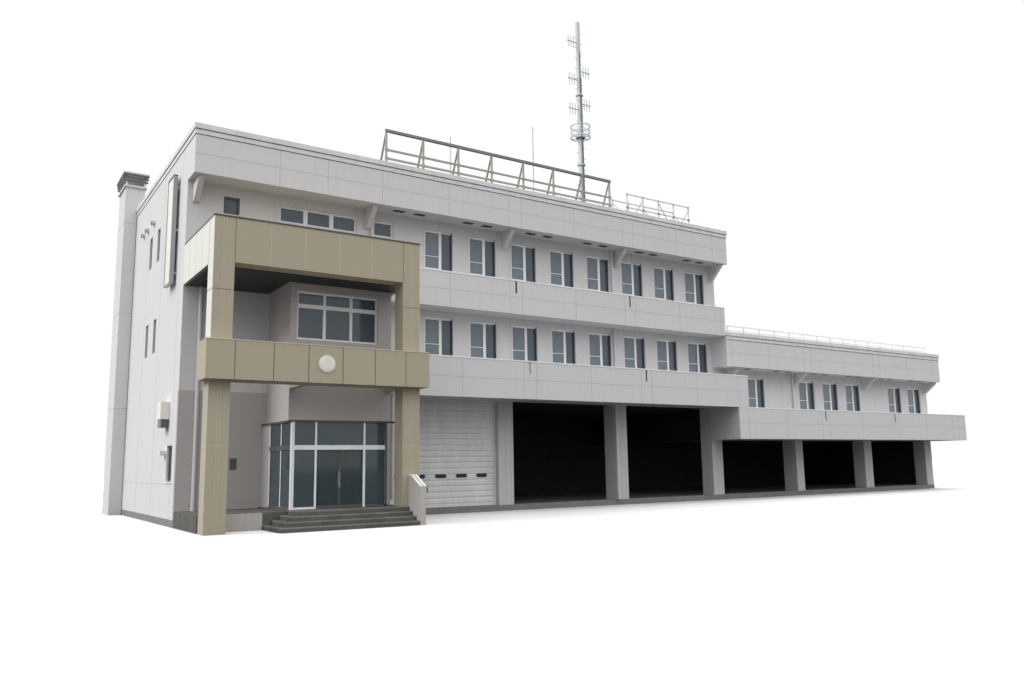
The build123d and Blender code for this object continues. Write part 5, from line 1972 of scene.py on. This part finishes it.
@dataclass
class SideFittings:
    """Vents, plates and trims on the walls, the chimney and the side sign."""

    grid: Grid

    vent: float = 0.07
    vent_places: tuple[float, ...] = (0.41, 1.15, 1.66)
    vent_level: float = 6.74
    # Radius share and thickness of a vent's flange, how far its hood stands out, and radius
    # share, depths and drop of its mouth, black as painted shade under the hood.
    flange: Span = (1.15, 0.02)
    hood: float = 0.075
    mouth: tuple[float, float, float, float] = (0.7, 0.06, 0.078, 0.02)

    sill: Span = (-2.61, -2.095)
    sill_depth: Span = (-0.015, 0.03)
    sill_level: Span = (0.825, 0.845)
    # Edges, depths and levels of the bare light box, the lamp, the box's foot, and the bare
    # plate beside the entrance.
    light_box: tuple[Span, Span, Span] = ((-2.2, -1.85), (-0.17, 0.0), (2.06, 2.41))
    lamp: tuple[Span, Span, Span] = ((-2.04, -1.88), (-0.12, 0.0), (1.36, 1.45))
    box_foot: tuple[Span, Span, Span] = ((-2.18, -1.87), (-0.15, 0.0), (1.90, 2.06))
    plate: tuple[Span, Span, Span] = ((-6.443, -6.312), (-0.012, 0.0), (1.06, 1.277))

    sign_thickness: float = 0.06
    sign_rim: float = 0.022
    sign_out: float = 0.012
    sign_edge: float = 0.006
    sign_top: float = 0.02

    chimney_depth: float = 1.0
    chimney_lines: tuple[float, ...] = (2.6, 5.0, 7.35)
    line: Span = (0.002, 0.008)

    corner: tuple[float, float, float] = (0.004, 0.012, 7.6)

    hood_lip: float = 0.08

    blades: int = 3
    hood_levels: Span = (0.04, 0.28)
    blade: float = 4 * MM
    lean: float = 0.03
    # How far each blade stands inside the one above, and its height as a share of their
    # spacing.
    blade_inset: float = 0.012
    blade_share: float = 0.6

    def build(self) -> None:
        """Add the fittings."""
        self.wall_vents()
        self.boxes()
        self.sign_edges()
        self.chimney_joints()
        self.chimney_blades()

    def wall_vents(self) -> None:
        """Add the hooded round vents high on the left wall."""
        hoods, mouths = Shape(), Shape()
        share, start, end, drop = self.mouth
        for y in self.vent_places:
            centre = Vector((self.grid.left, y, self.vent_level))
            for radius, out in ((self.vent * self.flange[0], self.flange[1]),
                                (self.vent, self.hood)):
                hoods.bar(centre, centre - Vector((out, 0, 0)), radius, 24)
            # The mouth is a black disc, painted shade under the hood.
            mouths.bar(centre - Vector((start, 0, drop)), centre - Vector((end, 0, drop)),
                       self.vent * share, 20)
        hoods.place("round_vent_hoods", ZINC, "galvanised_steel", smooth=True)
        mouths.place("round_vent_mouths_painted_shade", RUBBER_AND_SHADE, "galvanised_steel", smooth=True)

    def boxes(self) -> None:
        """Add the low slot's sill, the light box, the lamp and the entrance's plate."""
        wall = face(Side.LEFT, self.grid.left)
        sill, box, foot, plate = Shape(), Shape(), Shape(), Shape()
        sill.panel(wall, self.sill, self.sill_depth, self.sill_level)
        sill.place("low_slot_sill", WINDOW_WHITE, "window_frame", edge=1 * MM)
        box.panel(wall, *self.light_box)
        box.panel(wall, *self.lamp)
        box.place("left_light_box", WHITE_SHEET, "white_sheet", edge=4 * MM)
        foot.panel(wall, *self.box_foot)
        foot.place("left_light_box_foot", WINDOW_DARK, "white_sheet", edge=4 * MM)
        plate.panel(face(Side.FRONT, self.grid.front), *self.plate)
        plate.place("entrance_wall_plate", WINDOW_DARK, "window_frame", edge=2 * MM)

    def sign_edges(self) -> None:
        """Add the side sign's steel edge frame, standing clear of its white faces."""
        low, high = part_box("side_sign")
        back = low.x + self.sign_thickness
        out, edge = self.sign_out, self.sign_edge
        level = (low.z, high.z + self.sign_top)
        rim = Shape()
        for side, plane in ((Side.LEFT, low.x), (Side.RIGHT, back)):
            rim.ring(face(side, plane), (low.y, high.y), (-out, 0.0), level, self.sign_rim)
        for side, plane in ((Side.FRONT, low.y), (Side.REAR, high.y)):
            rim.panel(face(side, plane), (low.x - out, back + out), (-edge, 0.0), level)
        rim.block((low.x - out, back + out), (low.y - edge, high.y + edge),
                  (high.z, level[1]))
        rim.place("side_sign_edge_frame", SIGN_EDGE, "galvanised_steel", edge=1 * MM)

    def chimney_joints(self) -> None:
        """Add the chimney's level joints and the dark line between chimney and wall: a joint,
        drawn dark as painted shade in the corner.
        """
        low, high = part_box("chimney")
        left, rear = self.grid.left, self.grid.rear
        start, end = low.x + self.hood_lip, high.x - self.hood_lip
        back = rear + self.chimney_depth
        thick, height = self.line
        bands, corner = Shape(), Shape()
        for z in self.chimney_lines:
            for side, plane, along in ((Side.LEFT, start, (rear, back)),
                                       (Side.RIGHT, end, (rear, back)),
                                       (Side.FRONT, rear, (start, left)),
                                       (Side.REAR, back, (start, left))):
                bands.panel(face(side, plane), along, (-thick, 0.0), (z, z + height))
        # The line in the chimney's corner is a joint, drawn dark as painted shade in the
        # corner.
        thick, width, top = self.corner
        corner.panel(face(Side.FRONT, rear), (left - width, left), (-thick, 0.0), (0.0, top))
        bands.place("chimney_joints", SEALANT, "wall_panel")
        corner.place("chimney_corner_joint_and_shade", GREY_TRIM_AND_SHADOW, "wall_panel")

    def chimney_blades(self) -> None:
        """Add the sloping blades round the chimney's hood."""
        low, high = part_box("chimney")
        top, bottom = (high.z - drop for drop in self.hood_levels)
        fall = (top - bottom) / self.blades
        front = self.grid.rear - self.hood_lip
        back = self.grid.rear + self.chimney_depth + self.hood_lip
        shape = Shape()
        for k in range(self.blades):
            z, inset = top - k * fall, self.blade_inset * k
            left, right = low.x + inset, high.x - inset
            near, far = front + inset, back - inset
            section = ((0.0, 0.0), (self.lean, fall * self.blade_share),
                       (self.lean + self.blade, fall * self.blade_share),
                       (self.blade, 0.0))
            for x, way in ((left, 1), (right, -1)):
                shape.sweep([Vector((x + way * out, near, z - drop))
                             for out, drop in section], Vector((0, far - near, 0)))
            for y, way in ((near, 1), (far, -1)):
                shape.sweep([Vector((left, y + way * out, z - drop))
                             for out, drop in section], Vector((right - left, 0, 0)))
        shape.place("chimney_hood_blades", HOOD, "galvanised_steel")


@dataclass
class EngineHall:
    """Painted shade in the engine hall: dark sheets on its inner walls and ceiling, and a
    darker sheet over its floor.
    """

    grid: Grid
    # Thickness of the painted-shade sheets, drawn thick to lie clear, and of the walls.
    coat: float = 3 * MM
    wall: float = 0.1

    floor: float = 0.14
    soffit: float = 2.575
    wing_soffit: float = 1.675
    # Distance of the first inner face from the column before it.
    start_gap: float = 0.02
    # Floor's painted-shade sheet: distance from the front face, and levels about the floor.
    floor_shade_front: float = 0.05
    floor_shade: Span = (-2 * MM, 1 * MM)

    def build(self) -> None:
        """Add the painted-shade sheets."""
        grid, coat, wall = self.grid, self.coat, self.wall
        back, street = grid.rear - wall, grid.front + grid.column
        start = grid.column / 2 - grid.bay + self.start_gap
        turn, end = grid.right + wall, grid.wing_end - wall
        main, wing = (self.floor, self.soffit), (self.floor, self.wing_soffit)
        inside = (street, back)
        # Dark sheets on the hall's inner faces are painted shade.
        paint = Shape()
        # Rear walls, ceilings, end walls and the drop between both ceilings.
        paint.block((start, turn), (back - coat, back), main)
        paint.block((turn, end), (back - coat, back), wing)
        paint.block((start, grid.right), inside, (self.soffit - coat, self.soffit))
        paint.block((turn, end), inside, (self.wing_soffit - coat, self.wing_soffit))
        paint.block((start, start + coat), inside, main)
        paint.block((end - coat, end), inside, wing)
        drop = grid.right - wall
        paint.block((drop - coat, drop), inside, (self.wing_soffit, self.soffit))
        paint.place("engine_hall_painted_shade", HALL_SHADE_SHEET, "wall_panel")
        # The darker sheet over the hall floor is painted shade.
        floor_shade = Shape()
        floor_shade.block((start, end), (grid.front + self.floor_shade_front, back),
                   (self.floor + self.floor_shade[0], self.floor + self.floor_shade[1]))
        floor_shade.place("engine_hall_floor_painted_shade", HALL_FLOOR_SHADE, "concrete_floor")


def dress_nodes() -> None:
    """Give each carried-over node its own finish or that of its material slot."""
    slots = {part["node"]: part["material_slot"] for part in frame["record"]["subparts"]
             if "node" in part and "material_slot" in part}
    for name, node in frame["nodes"].items():
        finish = NODE_FINISHES.get(name) or SLOT_FINISHES.get(slots.get(name, ""), WALL)
        if not node.material_slots:
            node.data.materials.append(finish.material())
        for place in node.material_slots:
            place.material = finish.material()
        LOG.info("%s wears %s", name, finish.name)


@dataclass
class Studio:
    """Floor, light and camera."""

    # Camera: place in the street before the left corner, heading right of the building's
    # depth, tilt and roll in degrees, focal length for a 36 mm sensor, and reach.
    spot: tuple[float, float, float] = (-10.832, -19.5, 1.074)
    turn: float = 33.709
    pitch: float = 8.491
    roll: float = -0.9
    lens: float = 28.96
    reach: float = 1000.0

    floor_size: float = 600.0
    floor_tone: str = "#595959"
    floor_shown: str = "#dedede"
    floor_roughness: float = 0.9

    horizon: float = 0.35
    zenith: float = 2.6
    # Soft key: strength, and spread, angle from the zenith and heading in degrees.
    key: float = 1.7
    key_spread: float = 30.0
    key_fall: float = 52.0
    key_heading: float = -105.0

    def build(self) -> None:
        """Add the floor, the lights and the camera, and set the plain view."""
        self.floor()
        self.sky()
        self.sun()
        self.camera()
        bpy.context.scene.view_settings.view_transform = "Standard"

    def floor(self) -> None:
        """Add the floor: pale where the camera sees it, darker as it lights the walls."""
        half = self.floor_size / 2
        corners = [(-half, -half, 0), (half, -half, 0), (half, half, 0), (-half, half, 0)]
        data = bpy.data.meshes.new("studio_floor")
        data.from_pydata(corners, [], [(0, 1, 2, 3)])
        made = bpy.data.materials.new("pale_studio_floor")
        made.use_nodes = True
        tree = made.node_tree
        shader = tree.nodes["Principled BSDF"]
        shader.inputs["Roughness"].default_value = self.floor_roughness
        path = add_node(tree, "LightPath")
        shown = add_node(tree, "Mix", {"data_type": "RGBA", 6: linear(self.floor_tone),
                          7: linear(self.floor_shown)}, {0: path.outputs["Is Camera Ray"]})
        tree.links.new(shown.outputs[2], shader.inputs["Base Color"])
        data.materials.append(made)
        floor = bpy.data.objects.new("studio_floor", data)
        bpy.context.scene.collection.objects.link(floor)

    def sky(self) -> None:
        """Add an overcast sky, plain white to the camera, to gloss and through glass."""
        world = bpy.data.worlds.new("studio_sky")
        bpy.context.scene.world = world
        world.use_nodes = True
        tree = world.node_tree
        tree.nodes.clear()
        path = add_node(tree, "LightPath")
        seen = add_node(tree, "Math", {"operation": "MAXIMUM"},
                        {0: path.outputs["Is Camera Ray"], 1: path.outputs["Is Glossy Ray"]})
        through = add_node(tree, "Math", {"operation": "MAXIMUM"},
                           {0: seen.outputs[0], 1: path.outputs["Is Transmission Ray"]})
        heading = add_node(tree, "TexCoord").outputs["Generated"]
        height = add_node(tree, "SeparateXYZ", links={0: heading})
        glow = add_node(tree, "MapRange", {3: self.horizon, 4: self.zenith},
                        {0: height.outputs["Z"]})
        strength = add_node(tree, "Mix", {"data_type": "FLOAT", 3: 1.0},
                            {0: through.outputs[0], 2: glow.outputs[0]})
        sky = add_node(tree, "Background", {"Color": (1.0, 1.0, 1.0, 1.0)},
                       {"Strength": strength.outputs[0]})
        add_node(tree, "OutputWorld", links={"Surface": sky.outputs[0]})

    def sun(self) -> None:
        """Add the soft key from the left."""
        key = bpy.data.lights.new("key", "SUN")
        key.energy = self.key
        key.angle = math.radians(self.key_spread)
        lamp = bpy.data.objects.new("key", key)
        lamp.rotation_euler = Euler((math.radians(self.key_fall), 0,
                                     math.radians(self.key_heading)), "XYZ")
        bpy.context.scene.collection.objects.link(lamp)

    def camera(self) -> None:
        """Add the camera at the photograph's viewing angle."""
        data = bpy.data.cameras.new("camera")
        data.lens = self.lens
        data.clip_end = self.reach
        camera = bpy.data.objects.new("camera", data)
        camera.location = self.spot
        turn = Euler((0, 0, math.radians(-self.turn))).to_matrix()
        tilt = Euler((math.radians(90 + self.pitch), 0, 0)).to_matrix()
        roll = Euler((0, 0, math.radians(self.roll))).to_matrix()
        camera.rotation_euler = (turn @ tilt @ roll).to_euler()
        bpy.context.scene.collection.objects.link(camera)
        bpy.context.scene.camera = camera


def main() -> None:
    """Dress the nodes and build every sub-assembly and the studio."""
    logging.basicConfig(level=logging.INFO, format="%(message)s")
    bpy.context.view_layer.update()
    grid = Grid()
    dress_nodes()
    for kind in (Cladding, Windows, Copings, Portal, Vestibule, Shutter, Steps, Pipes,
                 RoofSteel, SideFittings, EngineHall):
        LOG.info("building %s", kind.__name__)
        kind(grid).build()
    Studio().build()
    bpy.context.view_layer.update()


if __name__ == "__main__":
    main()
